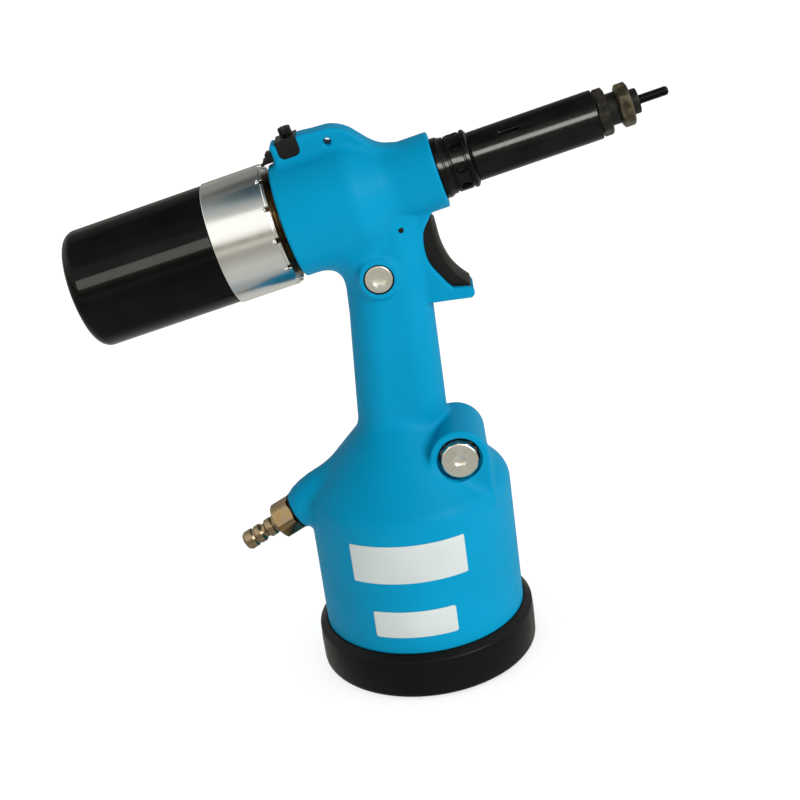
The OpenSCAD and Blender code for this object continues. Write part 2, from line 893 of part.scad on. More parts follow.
module reverse_block() {
    well_r = 3.6;
    color([0.1, 0.1, 0.1]) difference() {
        intersection() {
            head_plate(-ridge_w / 2 - 0.3, ridge_w / 2 + 0.3) block_outline(0);
            head_plate(-ridge_w, ridge_w) translate([-50, 20]) square([60, block_top - 20]);
        }
        head_at(knob_u) rotate([0, -90, 0]) {
            rod(1.8, 33, 50);
            rod(well_r, 38.8, 50);
        }
        head_plate(-3.3, 3.3) translate([-36, 30.8]) square([5, 3.4]);
    }
}

module reverse_button() {
    color([0.12, 0.12, 0.12]) head_at(knob_u) rotate([0, -90, 0]) {
        rod(1.5, 35.8, 42);
        rod(2.3, 41.3, 42.6);
        rod(3.25, 42.3, 45.9);
    }
}

body_casting();
base_boot();
base_end_cap();
end_cap_seal();
ram_gland();
rear_sleeve();
front_gland();
gland_seal();
rear_cover();
exhaust_silencer();
motor_liner();
motor_rear_plate();
motor_front_plate();
rear_bearing();
front_bearing();
ring_gear();
carrier_bearing();
nose_adapter();
nose_lock_ring();
nose_sleeve();
tip_adapter();
lock_nut();
anvil();
trigger_pin();
trigger_valve_body();
oil_plug();
oil_plug_seal();
valve_sleeve();
valve_cap();
valve_cap_seal();
inlet_gasket();
inlet_fitting();
inlet_nipple();
upper_label();
lower_label();
reverse_block();
stroke_ring();
stroke_stop();
ring_lock();
pull_piston();
piston_seal();
thrust_bearing();
return_spring();
spindle();
mandrel_chuck();
mandrel();
motor_rotor();
rotor_vanes();
planet_carrier();
planet(0);  // planet_1
planet(1);  // planet_2
planet(2);  // planet_3
air_piston();
air_piston_seal();
ram_rod();
ram_spring();
trigger();
trigger_stem();
valve_spool();
reverse_button();
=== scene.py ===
"""Looks of the pneumatic rivet gun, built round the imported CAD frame.

Lengths are in millimetres in the helpers and become metres when a mesh is made.
"""

import json
import math

import bmesh
import bpy
import numpy as np
import openvdb
from mathutils import Matrix, Vector

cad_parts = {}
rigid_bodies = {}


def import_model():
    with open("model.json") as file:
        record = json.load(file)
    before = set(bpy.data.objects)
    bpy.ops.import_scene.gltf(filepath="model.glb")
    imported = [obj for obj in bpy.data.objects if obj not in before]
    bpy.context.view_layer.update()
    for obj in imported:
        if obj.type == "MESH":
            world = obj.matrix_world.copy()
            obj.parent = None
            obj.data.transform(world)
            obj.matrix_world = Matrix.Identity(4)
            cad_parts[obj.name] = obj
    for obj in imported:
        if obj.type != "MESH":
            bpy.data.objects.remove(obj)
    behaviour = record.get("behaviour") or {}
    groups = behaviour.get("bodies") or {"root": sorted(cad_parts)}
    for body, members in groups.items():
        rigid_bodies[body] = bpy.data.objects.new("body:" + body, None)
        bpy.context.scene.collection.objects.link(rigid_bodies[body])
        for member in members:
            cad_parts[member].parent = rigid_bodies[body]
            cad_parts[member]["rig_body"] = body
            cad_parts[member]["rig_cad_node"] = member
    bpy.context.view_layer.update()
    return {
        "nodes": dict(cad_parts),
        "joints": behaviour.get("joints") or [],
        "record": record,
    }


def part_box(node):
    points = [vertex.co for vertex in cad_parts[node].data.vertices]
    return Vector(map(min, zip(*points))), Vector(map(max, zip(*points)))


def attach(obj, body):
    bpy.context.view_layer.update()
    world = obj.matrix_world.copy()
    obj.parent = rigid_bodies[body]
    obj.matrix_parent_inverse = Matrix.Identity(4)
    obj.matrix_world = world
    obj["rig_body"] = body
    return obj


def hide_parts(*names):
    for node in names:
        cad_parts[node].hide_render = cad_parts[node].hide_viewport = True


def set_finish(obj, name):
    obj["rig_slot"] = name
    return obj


MM = 0.001
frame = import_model()
NODES, RECORD = frame["nodes"], frame["record"]
JOINTS = {j["name"]: j for j in frame["joints"]}
MOUNTS = {m["name"]: m for m in RECORD["mounts"]}
SLOT_OF = {s["node"]: s["material_slot"] for s in RECORD["subparts"]}
BODY_OF = {n: o["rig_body"] for n, o in NODES.items()}


# ---- axes and measures taken from the frame ----

class Axis:
    """A local frame in millimetres: z runs along it, and x is its sideways zero."""

    def __init__(self, origin, z, x):
        self.origin = np.array(origin, float)
        self.z = np.array(z, float) / np.linalg.norm(z)
        self.x = np.array(x, float) - np.dot(x, self.z) * self.z
        self.x /= np.linalg.norm(self.x)
        self.y = np.cross(self.z, self.x)

    def world(self, points):
        p = np.asarray(points, float).reshape(-1, 3)
        return self.origin + p[:, :1] * self.x + p[:, 1:2] * self.y + p[:, 2:] * self.z

    def local(self, points):
        p = np.asarray(points, float) - self.origin
        return np.stack([p @ self.x, p @ self.y, p @ self.z], -1)

    def at(self, along):
        return Axis(self.origin + along * self.z, self.z, self.x)


def node_points(node):
    mesh = NODES[node].data
    co = np.empty(len(mesh.vertices) * 3, np.float32)
    mesh.vertices.foreach_get("co", co)
    return co.reshape(-1, 3).astype(float) / MM


def reach(axis, node):
    """Lowest and highest station of a CAD node along an axis, and its largest radius."""
    p = axis.local(node_points(node))
    return p[:, 2].min(), p[:, 2].max(), np.hypot(p[:, 0], p[:, 1]).max()


spin = JOINTS["rotor_spin"]
tilt_axis = np.array(spin["axis"], float)
spin_at = np.array(spin["pos_m"], float) / MM
HEAD_Z = spin_at[2] - spin_at[0] * tilt_axis[2] / tilt_axis[0]
HEAD = Axis((0, 0, HEAD_Z), tilt_axis, (tilt_axis[2], 0, -tilt_axis[0]))
UP = Axis((0, 0, 0), (0, 0, 1), (1, 0, 0))

nipple = MOUNTS["air_nipple"]
inlet_dir = np.array(nipple["axis"], float)
inlet_end = np.array(nipple["pos_m"], float) / MM
INLET = Axis(inlet_end, inlet_dir, (0, 1, 0))
INLET = INLET.at(reach(INLET, "inlet_gasket")[0])

valve_low, valve_high = (np.array(v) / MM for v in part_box("valve_sleeve"))
VALVE_X, VALVE_Z = (valve_low[0] + valve_high[0]) / 2, (valve_low[2] + valve_high[2]) / 2
VALVE = Axis((VALVE_X, 0, VALVE_Z), (0, 1, 0), (1, 0, 0))
plug_low, plug_high = (np.array(v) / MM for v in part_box("oil_plug"))
PLUG = Axis(((plug_low[0] + plug_high[0]) / 2, 0, (plug_low[2] + plug_high[2]) / 2), (0, 1, 0), (1, 0, 0))
knob_low, knob_high = (np.array(v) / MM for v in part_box("reverse_button"))
pin = JOINTS["trigger_pull"]["pos_m"]
PIN = Axis((pin[0] / MM, 0, pin[2] / MM), (0, 1, 0), (1, 0, 0))
PIN_R = reach(PIN, "trigger_pin")[2]
hole = HEAD.local(np.array(MOUNTS["hanging_hole"]["pos_m"], float) / MM)

CYL_R = reach(UP, "lower_label")[2] - 0.32
BOOT_R = reach(UP, "base_boot")[2]
BOOT_TOP = reach(UP, "base_boot")[1]
COVER_BACK, COVER_FRONT, COVER_R = reach(HEAD, "rear_cover")
RING_BACK, RING_FRONT, RING_R = reach(HEAD, "stroke_ring")
RING_BORE = 27.3
BARREL_BACK, BARREL_FRONT = -42.8, reach(HEAD, "nose_adapter")[0] + 27.35
BARREL_R, FRONT_R = 29.5, 19.6
GRIP_R = 17.0
SLEEVE_R = 27.0
SEAT = 0.05
GRIP_MIDDLE, GRIP_HALF = 184.5, 66.5
LUG_TOP = 34.1
SPOT_REACH = 9


# ---- mesh helpers ----

def make(name, verts, faces, axis=None, sharp=35):
    """A mesh object from millimetre points, smooth but for edges above the sharp angle."""
    points = np.asarray(verts, float)
    if axis is not None:
        points = axis.world(points)
    mesh = bpy.data.meshes.new(name)
    mesh.from_pydata((points * MM).tolist(), [], faces)
    obj = bpy.data.objects.new(name, mesh)
    bpy.context.scene.collection.objects.link(obj)
    return shade(obj, sharp)


def shade(obj, sharp):
    bm = bmesh.new()
    bm.from_mesh(obj.data)
    bmesh.ops.recalc_face_normals(bm, faces=bm.faces)
    bm.to_mesh(obj.data)
    bm.free()
    obj.data.shade_smooth()
    if sharp < 180:
        obj.data.set_sharp_from_angle(angle=math.radians(sharp))
    return obj


def applied(obj):
    """Turns the modifiers of obj into its mesh."""
    dg = bpy.context.evaluated_depsgraph_get()
    mesh = bpy.data.meshes.new_from_object(obj.evaluated_get(dg))
    obj.modifiers.clear()
    old, obj.data = obj.data, mesh
    mesh.name = obj.name
    bpy.data.meshes.remove(old)
    return obj


def drop(*objs):
    for o in objs:
        bpy.data.meshes.remove(o.data)


def boolean(obj, cutters, operation="DIFFERENCE", sharp=35):
    for c in cutters:
        m = obj.modifiers.new("cut", "BOOLEAN")
        m.operation, m.solver, m.object = operation, "MANIFOLD", c
    applied(obj)
    drop(*cutters)
    return shade(obj, sharp)


def bevel(obj, width, segments, angle=35, sharp=35):
    m = obj.modifiers.new("bevel", "BEVEL")
    m.width, m.segments, m.limit_method = width * MM, segments, "ANGLE"
    m.angle_limit = math.radians(angle)
    applied(obj)
    return shade(obj, sharp)


def rounded(points, radius, steps=4):
    """The closed outline with each corner turned into an arc. radius is one number or one a corner."""
    n = len(points)
    radii = [radius] * n if np.isscalar(radius) else list(radius)
    out = []
    for i, p in enumerate(points):
        p = np.array(p, float)
        if radii[i] <= 0:
            out.append(tuple(p))
            continue
        a, b = np.array(points[i - 1], float) - p, np.array(points[(i + 1) % n], float) - p
        la, lb = np.linalg.norm(a), np.linalg.norm(b)
        a, b = a / la, b / lb
        half = math.acos(max(-1, min(1, float(a @ b)))) / 2
        if half > math.radians(88) or half < math.radians(3):
            out.append(tuple(p))
            continue
        cut = min(radii[i] / math.tan(half), 0.49 * la, 0.49 * lb)
        r = cut * math.tan(half)
        mid = (a + b) / np.linalg.norm(a + b)
        centre = p + mid * (r / math.sin(half))
        start, end = p + a * cut - centre, p + b * cut - centre
        sweep = math.atan2(start[0] * end[1] - start[1] * end[0], float(start @ end))
        for k in range(steps + 1):
            t = sweep * k / steps
            out.append((centre[0] + start[0] * math.cos(t) - start[1] * math.sin(t),
                        centre[1] + start[0] * math.sin(t) + start[1] * math.cos(t)))
    return out


def curve(points, steps):
    """A smooth line through the points, with its two ends kept."""
    p = [np.array(q, float) for q in points]
    p = [2 * p[0] - p[1]] + p + [2 * p[-1] - p[-2]]
    out = []
    for a, b, c, d in zip(p, p[1:], p[2:], p[3:]):
        for k in range(steps):
            t = k / steps
            out.append(tuple(0.5 * (2 * b + (c - a) * t + (2 * a - 5 * b + 4 * c - d) * t * t
                                    + (3 * b - a - 3 * c + d) * t ** 3)))
    return out + [tuple(p[-2])]


def lathe(name, profile, axis, steps=128):
    """Turns a closed outline of (radius, station) round an axis. Points on the axis become poles."""
    rings, verts, faces = [], [], []
    for r, u in profile:
        if r < 1e-6:
            rings.append([len(verts)] * steps)
            verts.append((0, 0, u))
            continue
        rings.append(list(range(len(verts), len(verts) + steps)))
        for k in range(steps):
            a = 2 * math.pi * k / steps
            verts.append((r * math.cos(a), r * math.sin(a), u))
    for i, ring in enumerate(rings):
        other = rings[(i + 1) % len(rings)]
        for k in range(steps):
            corners = [ring[k], ring[(k + 1) % steps], other[(k + 1) % steps], other[k]]
            face = [c for j, c in enumerate(corners) if c not in corners[:j]]
            if len(face) > 2:
                faces.append(face)
    return make(name, verts, faces, axis)


def rod(r, z0, z1, axis, steps=96):
    return lathe("cutter", [(0, z0), (r, z0), (r, z1), (0, z1)], axis, steps)


def prism(name, outline, low, high, axis):
    """An outline in (x, y) of an axis, from one station to another."""
    n = len(outline)
    verts = [(x, y, z) for z in (low, high) for x, y in outline]
    faces = [[k, (k + 1) % n, n + (k + 1) % n, n + k] for k in range(n)]
    faces += [list(range(n))[::-1], list(range(n, 2 * n))]
    return make(name, verts, faces, axis)


SIDE = Axis((0, 0, 0), (0, -1, 0), (1, 0, 0))
RIDGE = Axis((0, 0, HEAD_Z), (0, -1, 0), tilt_axis)


def ngon(flats, sides=6, turn=0.0):
    r = flats / 2 / math.cos(math.pi / sides)
    return [(r * math.cos(2 * math.pi * k / sides + turn), r * math.sin(2 * math.pi * k / sides + turn))
            for k in range(sides)]


def hexagon(name, flats, round_r, z0, z1, axis, chamfer, bore):
    """A hexagonal bar whose corners are turned to round_r and chamfered at both ends."""
    bar = prism(name, ngon(flats), z0, z1, axis)
    cone = round_r - chamfer * 1.7
    envelope = lathe("cutter", [(0, z0 - 1), (cone, z0 - 1), (cone, z0), (round_r, z0 + chamfer),
                                (round_r, z1 - chamfer), (cone, z1), (cone, z1 + 1), (0, z1 + 1)], axis)
    boolean(bar, [envelope], "INTERSECT")
    boolean(bar, [rod(bore, z0 - 2, z1 + 2, axis)])
    return bevel(bar, 0.18, 2, 25)


def threaded(name, axis, r, depth, pitch, z0, z1, inner, per_turn=48, tip=0.0):
    """A shaft or tube with a helical V thread that fades out at both ends. tip rounds its high end."""
    rows_per_pitch = 10
    rows = int(round((z1 - z0) / pitch * rows_per_pitch))
    verts, faces = [], []
    for j in range(rows + 1):
        z = z0 + (z1 - z0) * j / rows
        fade = min(1.0, min(z - z0, z1 - z) / (0.6 * pitch))
        past = max(0.0, z - (z1 - tip)) / tip if tip else 0.0
        point = 1 - 0.45 * past ** 2
        for i in range(per_turn):
            phase = (z / pitch - i / per_turn) % 1
            v = abs(2 * phase - 1)
            v = min(1, max(0, (v - 0.12) / 0.76))
            radius = (r - depth * (v * fade + (1 - fade) * 0.6)) * point
            a = 2 * math.pi * i / per_turn
            verts.append((radius * math.cos(a), radius * math.sin(a), z))
    for j in range(rows):
        for i in range(per_turn):
            k = (i + 1) % per_turn
            faces.append([j * per_turn + i, j * per_turn + k, (j + 1) * per_turn + k, (j + 1) * per_turn + i])
    first, last = list(range(per_turn)), list(range(rows * per_turn, (rows + 1) * per_turn))
    if inner <= 0:
        faces += [first[::-1], last]
    else:
        base = len(verts)
        for z in (z0, z1):
            verts += [(inner * math.cos(2 * math.pi * i / per_turn),
                       inner * math.sin(2 * math.pi * i / per_turn), z) for i in range(per_turn)]
        for i in range(per_turn):
            k = (i + 1) % per_turn
            low, high = base + i, base + per_turn + i
            low_k, high_k = base + k, base + per_turn + k
            faces += [[low, high, high_k, low_k], [first[k], first[i], low, low_k],
                      [last[i], last[k], high_k, high]]
    return make(name, verts, faces, axis, 30)


def stands_for(obj, *nodes, slot=None):
    """The piece replaces CAD nodes and moves with their body."""
    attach(obj, BODY_OF[nodes[0]])
    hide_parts(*nodes)
    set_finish(obj, slot or SLOT_OF[nodes[0]])
    return obj


# ---- the casting, as a blended solid ----

def polygon_distance(x, y, points):
    """Signed distance to a closed outline, negative inside."""
    best = np.full(x.shape, 1e9, np.float32)
    inside = np.zeros(x.shape, bool)
    for (ax, ay), (bx, by) in zip(points, points[1:] + points[:1]):
        ex, ey = bx - ax, by - ay
        wx, wy = x - ax, y - ay
        t = np.clip((wx * ex + wy * ey) / (ex * ex + ey * ey), 0, 1)
        best = np.minimum(best, (wx - ex * t) ** 2 + (wy - ey * t) ** 2)
        if ey:
            crosses = ((y >= ay) != (y >= by)) & (x < ax + (y - ay) * (ex / ey))
            inside ^= crosses
    return np.where(inside, -1, 1) * np.sqrt(best)


def shrink(points, r):
    """The outline moved inwards by r, so that a distance minus r rounds its corners."""
    p = [np.array(q, float) for q in points]
    area = sum(a[0] * b[1] - a[1] * b[0] for a, b in zip(p, p[1:] + p[:1]))
    turn = 1 if area > 0 else -1
    out = []
    for a, b, c in zip(p[-1:] + p[:-1], p, p[1:] + p[:1]):
        d1, d2 = (b - a) / np.linalg.norm(b - a), (c - b) / np.linalg.norm(c - b)
        n1, n2 = turn * np.array((-d1[1], d1[0])), turn * np.array((-d2[1], d2[0]))
        out.append(tuple(b + (n1 + n2) * (r / (1 + float(n1 @ n2)))))
    return out


def plate_distance(d, y, half, r):
    """An outline at distance d, made half wide each way along y, with its edges rounded at r."""
    w = np.abs(y) - (half - r)
    return np.minimum(np.maximum(d, w), 0) + np.hypot(np.maximum(d, 0), np.maximum(w, 0)) - r


def join(a, b, k):
    """The union of two distances, with a fillet of about 0.85 k."""
    h = np.maximum(k - np.abs(a - b), 0) / k
    return np.minimum(a, b) - h * h * (k / 4)


BARREL = [
    (0, BARREL_BACK), (BARREL_R, BARREL_BACK), (BARREL_R, -8), (29.3, -6), (28.7, -3.6), (27.3, -0.6),
    (24.6, 4), (22.2, 8), (20.7, 11), (19.9, 14), (FRONT_R, 18), (FRONT_R, BARREL_FRONT), (0, BARREL_FRONT)]
SHOULDER_R, SHOULDER_Z = 11, 97
DOME = [(0, 8), (CYL_R, 8), (CYL_R, SHOULDER_Z)] + [
    (CYL_R - SHOULDER_R + SHOULDER_R * math.cos(a), SHOULDER_Z + SHOULDER_R * math.sin(a))
    for a in (math.radians(d) for d in range(5, 46, 8))
] + [(17, 142.4), (0, 142.4)]
RIDGE_TOP = [(-38, 12), (-38, 39.4), (-37.4, 40)] + curve(
    [(-36, 40), (-24, 40.5), (-15, 39.7), (-8, 39.2), (-3, 37.5), (1.8, 34.2), (5.7, 29.6), (9.6, 25),
     (14, 21), (19, 18)], 3) + [(19, 12)]
CHEEK = [(8, 252), (31, 252)] + curve(
    [(28.9, 247.4), (26.3, 243), (24.9, 239.5), (24.3, 235), (24.4, 231.5), (25.1, 227.5), (26.5, 223.6),
     (28.9, 219.4), (31.6, 215.8), (33.8, 212.6)], 3) + [
    (36.6, 209.6), (45, 209), (47.4, 207.6), (47.6, 204.8), (46, 203), (37, 203), (24, 202.8), (8, 202.8)]
INLET_BOSS = [(0, -46), (14.2, -46), (14.2, -16), (13.5, -10), (12.2, -4.5), (10.2, 0), (0, 0)]
VALVE_FACE, VALVE_FAR, BOSS_R = -33.0, 8.4, 15.5
PLUG_FACE = -19.5


def turned(axis_xyz, outline, r):
    """Distance to an outline of (radius, station) turned round a local z axis."""
    x, y, z = axis_xyz
    return polygon_distance(np.hypot(x, y), z, shrink_open(outline, r)) - r


def shrink_open(outline, r):
    """Shrinks a turned outline, whose first and last points stay on the axis."""
    wide = [(-1000.0, outline[0][1])] + list(outline[1:-1]) + [(-1000.0, outline[-1][1])]
    return shrink(wide, r)


def casting_distance(p):
    """Signed distance of the casting's outer skin at points in millimetres."""
    x, y, z = p[:, 0], p[:, 1], p[:, 2]
    h = HEAD.local(p)
    up, along = -h[:, 0], h[:, 2]
    barrel = turned((h[:, 0], h[:, 1], along), BARREL, 0.9)

    # The handle is a stadium in plan, whose ends and width change with height
    left = np.interp(z, [137.5, 201, 230], [-22.1, -18.1, -17.6])
    right = np.interp(z, [137.5, 201, 230], [26.0, 25.8, 25.6])
    side = np.interp(z, [137.5, 170, 230], [GRIP_R, GRIP_R - 0.6, GRIP_R])
    stretch = np.clip(x, left + side, right - side)
    grip = np.maximum(np.hypot(x - stretch, y) - side, np.abs(z - GRIP_MIDDLE) - GRIP_HALF)

    dome = turned((x, y, z), DOME, 0.8)
    ridge = plate_distance(polygon_distance(along, up, shrink(RIDGE_TOP, 1.5)), y, 7, 1.5)
    cheek = plate_distance(polygon_distance(x, z, shrink(CHEEK, 1.3)), y, 10.5, 1.3)

    v = VALVE.local(p)
    boss_mid, boss_half = (VALVE_FACE + VALVE_FAR) / 2, (VALVE_FAR - VALVE_FACE) / 2
    round_part = np.hypot(v[:, 0], v[:, 1]) - BOSS_R
    skirt = np.maximum(np.abs(v[:, 0]) - BOSS_R, np.abs(z - 110) - 14)
    boss = plate_distance(np.minimum(round_part, skirt) + 1.0, v[:, 2] - boss_mid, boss_half, 1.0)

    q = PLUG.local(p)
    plug = plate_distance(np.hypot(q[:, 0], q[:, 1]) - 9.2, q[:, 2] - PLUG_FACE - 8, 8, 1.2)
    i = INLET.local(p)
    inlet = turned((i[:, 0], i[:, 1], i[:, 2]), INLET_BOSS, 0.7)

    d = join(barrel, grip, np.interp(x, [-13, 1, 9], [15, 5, 2]))
    d = join(d, plug, 4)
    d = join(d, cheek, 2.2)
    d = join(d, ridge, 4.5)
    foot = join(join(dome, inlet, 3.5), boss, 4)
    return join(d, foot, 3.5)


def skin(name, distance, low, high, step):
    """Meshes the zero surface of a distance function, and moves its points onto the surface.

    The distance is worked out only in the blocks of the grid that the surface can pass through.
    """
    block = 8
    low, high = np.array(low, float), np.array(high, float)
    blocks = np.ceil((high - low) / (step * block)).astype(int)
    size = blocks * block
    grid = np.empty(size, np.float32)
    centres = np.stack(np.meshgrid(*[np.arange(n) for n in blocks], indexing="ij"), -1).reshape(-1, 3)
    middle = low + (centres * block + (block - 1) / 2) * step
    far = distance(middle)
    limit = step * block * 0.87 * 1.25 + step * 2
    offsets = np.stack(np.meshgrid(*[np.arange(block)] * 3, indexing="ij"), -1).reshape(-1, 3)
    view = grid.reshape(blocks[0], block, blocks[1], block, blocks[2], block)
    for (a, b, c), d in zip(centres, far):
        if abs(d) > limit:
            view[a, :, b, :, c, :] = math.copysign(limit, d)
    near = centres[np.abs(far) <= limit]
    for start in range(0, len(near), 400):
        part = near[start:start + 400]
        points = low + (part[:, None, :] * block + offsets[None]) * step
        values = distance(points.reshape(-1, 3)).reshape(len(part), block, block, block)
        for (a, b, c), value in zip(part, values):
            view[a, :, b, :, c, :] = value
    volume = openvdb.FloatGrid(limit)
    volume.copyFromArray(grid)
    points, quads = volume.convertToQuads(0.0)
    points = low + np.asarray(points, float) * step
    delta = 0.05
    for _ in range(3):
        d = distance(points)
        slope = np.stack([distance(points + delta * e) - d for e in np.eye(3)], -1) / delta
        points -= slope * (np.clip(d, -step, step) / np.maximum((slope ** 2).sum(-1), 0.3))[:, None]
    return make(name, points, np.asarray(quads).tolist(), None, 180)


def cut_outline(points, half, axis):
    return prism("cutter", points, -half, half, axis)


def block_outline(grow):
    back, front, low, corner = -34.7 - grow, -23.7 + grow, 31.5 - grow, 3.2
    return rounded([(back, low), (front, low), (front, 52), (back, 52)], [corner, corner, 0, 0], 6)


TRIGGER_SLOT = [(9, 249.2), (36, 249.2), (50.5, 212.5), (50.5, 204.9), (31, 204.9), (23, 213),
                (19.5, 228), (19.5, 234), (9, 238)]


def head_cuts():
    """The motor's seat, the oil cylinder and the way out for the mandrel."""
    return [rod(SLEEVE_R + SEAT, BARREL_BACK - 2, -29.95, HEAD, 128), rod(19, -31, -2, HEAD),
            rod(13, -3, BARREL_FRONT + 2, HEAD)]


def ridge_cuts():
    """The pocket of the reversing valve, and the groove that the lock lug slides in."""
    groove = [(-39, 31), (-29, 31), (-29, LUG_TOP), (-39, LUG_TOP)]
    return [cut_outline(block_outline(SEAT), 14, RIDGE), cut_outline(groove, 3.3, RIDGE)]


def grip_cuts():
    """The ram's bore, the seat of its gland, and the air cylinder."""
    return [rod(8, 119, 246, UP), rod(12.05, 92, 119, UP, 64), rod(49.99, 7, 93, UP, 128)]


def port_cuts():
    """The seats of the oil plug, of the main valve and of the air inlet."""
    plug, valve = PLUG_FACE - 2, VALVE_FACE - 2
    return [rod(5.05, plug, 0, PLUG, 48), rod(7.9, plug, -15.5, PLUG, 64),
            rod(12, VALVE_FACE - SPOT_REACH, -29.2, VALVE, 96), rod(10.8, valve, -21, VALVE, 96),
            rod(8.05, valve, 2, VALVE, 64), rod(6.6, -14, 3, INLET, 64), rod(3, -44, 3, INLET, 32)]


def build_casting():
    casting = skin("casting", casting_distance, (-82, -59, 5), (63, 59, 306), 0.8)
    slot = cut_outline(rounded(TRIGGER_SLOT, [0, 0, 0, 1.2, 2.5, 3, 3, 3, 0]), 7.5, SIDE)
    pin_hole = rod(PIN_R + SEAT, -30, 30, PIN, 32)
    cuts = head_cuts() + ridge_cuts() + [slot] + grip_cuts() + [pin_hole] + port_cuts()
    hang = Axis(HEAD.world([(hole[0], 0, hole[2])])[0], (0, 1, 0), (1, 0, 0))
    cuts.append(lathe("cutter", [(0, -9), (3.9, -9), (1.9, -6.4), (1.9, 6.4), (3.9, 9), (0, 9)], hang, 48))
    boolean(casting, cuts, sharp=50)
    return stands_for(casting, "body_casting")


# ---- base ----

def build_boot():
    inner = CYL_R + 0.05
    profile = rounded([(0, 0), (BOOT_R - 0.2, 0), (BOOT_R, 14), (BOOT_R - 0.3, 22.2),
                       (inner + 1.2, BOOT_TOP - 0.5), (inner + 0.2, BOOT_TOP), (inner, BOOT_TOP - 1),
                       (inner, 3), (0, 3)],
                      [0, 3.0, 3, 1.2, 0.8, 0.3, 0, 1, 0], 6)
    boot = lathe("boot", profile, UP, 192)
    return stands_for(boot, "base_boot")


# ---- motor housing and ring ----

def build_cover():
    wall, edge = 4, 6.5
    bore = SLEEVE_R + SEAT
    profile = rounded([(0, COVER_BACK), (COVER_R, COVER_BACK), (COVER_R, COVER_FRONT),
                       (bore, COVER_FRONT), (bore, COVER_BACK + wall), (0, COVER_BACK + wall)],
                      [0, edge, 0.5, 0.3, 1, 0], 12)
    cover = lathe("motor_cover", profile, HEAD, 192)
    outside, inside = COVER_BACK - 2, COVER_BACK + wall + 2
    holes = [rod(2.5, outside, inside, turned_axis(i * 60 + 30, 15), 32) for i in range(6)]
    holes.append(rod(4, outside, inside, HEAD, 48))
    boolean(cover, holes)
    return stands_for(cover, "rear_cover")


def turned_axis(degrees, out):
    a = math.radians(degrees)
    return Axis(HEAD.world([(out * math.cos(a), out * math.sin(a), 0)])[0], HEAD.z, HEAD.x)


def build_ring():
    rim_r, lip_r, floor = RING_R - 0.55, RING_R - 1.1, RING_FRONT - 2
    groove_r, groove_back, groove_front = 28.7, -69.4, -56.4
    profile = rounded([(RING_BORE, RING_BACK), (RING_R, RING_BACK), (RING_R, RING_FRONT - 1.5),
                       (rim_r, RING_FRONT - 1), (rim_r, RING_FRONT), (lip_r, RING_FRONT), (lip_r, floor),
                       (RING_BORE, floor), (RING_BORE, groove_front), (groove_r, groove_front),
                       (groove_r, groove_back), (RING_BORE, groove_back)],
                      [0.2, 0.4, 0.2, 0.2, 0.1, 0.1, 0.2, 0.3, 0, 0, 0, 0], 5)
    ring = lathe("stroke_ring_turned", profile, HEAD, 192)
    notches = []
    for i in range(12):
        spoke = turned_axis(i * 30, RING_R - 0.2)
        a = math.radians(i * 30)
        out = Axis(spoke.origin, HEAD.z, HEAD.x * math.cos(a) + HEAD.y * math.sin(a))
        notches.append(lathe("cutter", [
            (0, RING_FRONT - 3.6), (1.2, RING_FRONT - 3), (1.5, RING_FRONT - 1.8), (1.5, RING_FRONT + 1),
            (0, RING_FRONT + 1)], out, 24))
    boolean(ring, notches)
    return stands_for(ring, "stroke_ring")


def build_thread_sleeve():
    r = reach(HEAD, "rear_sleeve")[2]
    back, front = COVER_FRONT + 2.4, BARREL_BACK + 1.5
    sleeve = threaded("rear_thread", HEAD, r, 0.85, 1.5, back, front, inner=22.1, per_turn=128)
    return stands_for(sleeve, "rear_sleeve")


def build_lock():
    outline = [(-44.5, 32.1), (-43.6, 33.8), (-42.0, 33.8), (-42.0, 36), (-41.2, 36.7), (-38.5, 36.7),
               (-38.3, 33.9), (-31.6, 33.9), (-31.6, 31.3), (-44.5, 31.3)]
    lug = prism("ring_lock_lug", rounded(outline, 0.25, 3), -3, 3, RIDGE)
    tooth = [(-45.6, 30.65), (-45.6, 31.9), (-44.4, 31.9), (-44.4, 30.65)]
    boolean(lug, [prism("cutter", tooth, -0.9, 0.9, RIDGE)], "UNION")
    bevel(lug, 0.2, 2)
    return stands_for(lug, "ring_lock")


# ---- reversing valve ----

def build_reverse():
    top = 41.2
    block = prism("reverse_insert", block_outline(0), -7.3, 7.3, RIDGE)
    lid = prism("cutter", [(-60, top), (0, top), (0, 70), (-60, 70)], -20, 20, RIDGE)
    knob_u = HEAD.local((knob_low + knob_high) / 2)[2]
    knob = Axis(HEAD.world([(0, 0, knob_u)])[0], -HEAD.x, HEAD.z)
    cuts = [lid, rod(1.8, 33, 50, knob, 32), rod(3.6, 38.8, 50, knob, 48),
            prism("cutter", [(-36, 30.8), (-31, 30.8), (-31, 34.2), (-36, 34.2)], -3.3, 3.3, RIDGE)]
    boolean(block, cuts)
    bevel(block, 0.35, 3)
    stands_for(block, "reverse_block")

    teeth, knob_r, grip_low, grip_high = 28, 3.25, 42.3, 45.9
    profile = rounded([(0, 35.8), (1.5, 35.8), (1.5, 41.4), (2.2, 41.4), (2.2, grip_low), (knob_r, grip_low),
                       (knob_r, grip_high), (0, grip_high)], [0, 0.2, 0, 0.2, 0.2, 0.25, 0.5, 0], 3)
    button = lathe("reverse_knob", profile, knob, teeth * 4)
    mesh = button.data
    for v in mesh.vertices:
        p = knob.local(np.array(v.co) / MM)
        r = math.hypot(p[0], p[1])
        if r > 2.6 and grip_low < p[2] < grip_high:
            wave = 0.5 - 0.5 * math.cos(math.atan2(p[1], p[0]) * teeth)
            k = 1 - 0.075 * wave * (r / knob_r) ** 4
            v.co = Vector(knob.world([(p[0] * k, p[1] * k, p[2])])[0] * MM)
    shade(button, 40)
    stands_for(button, "reverse_button")


# ---- trigger ----

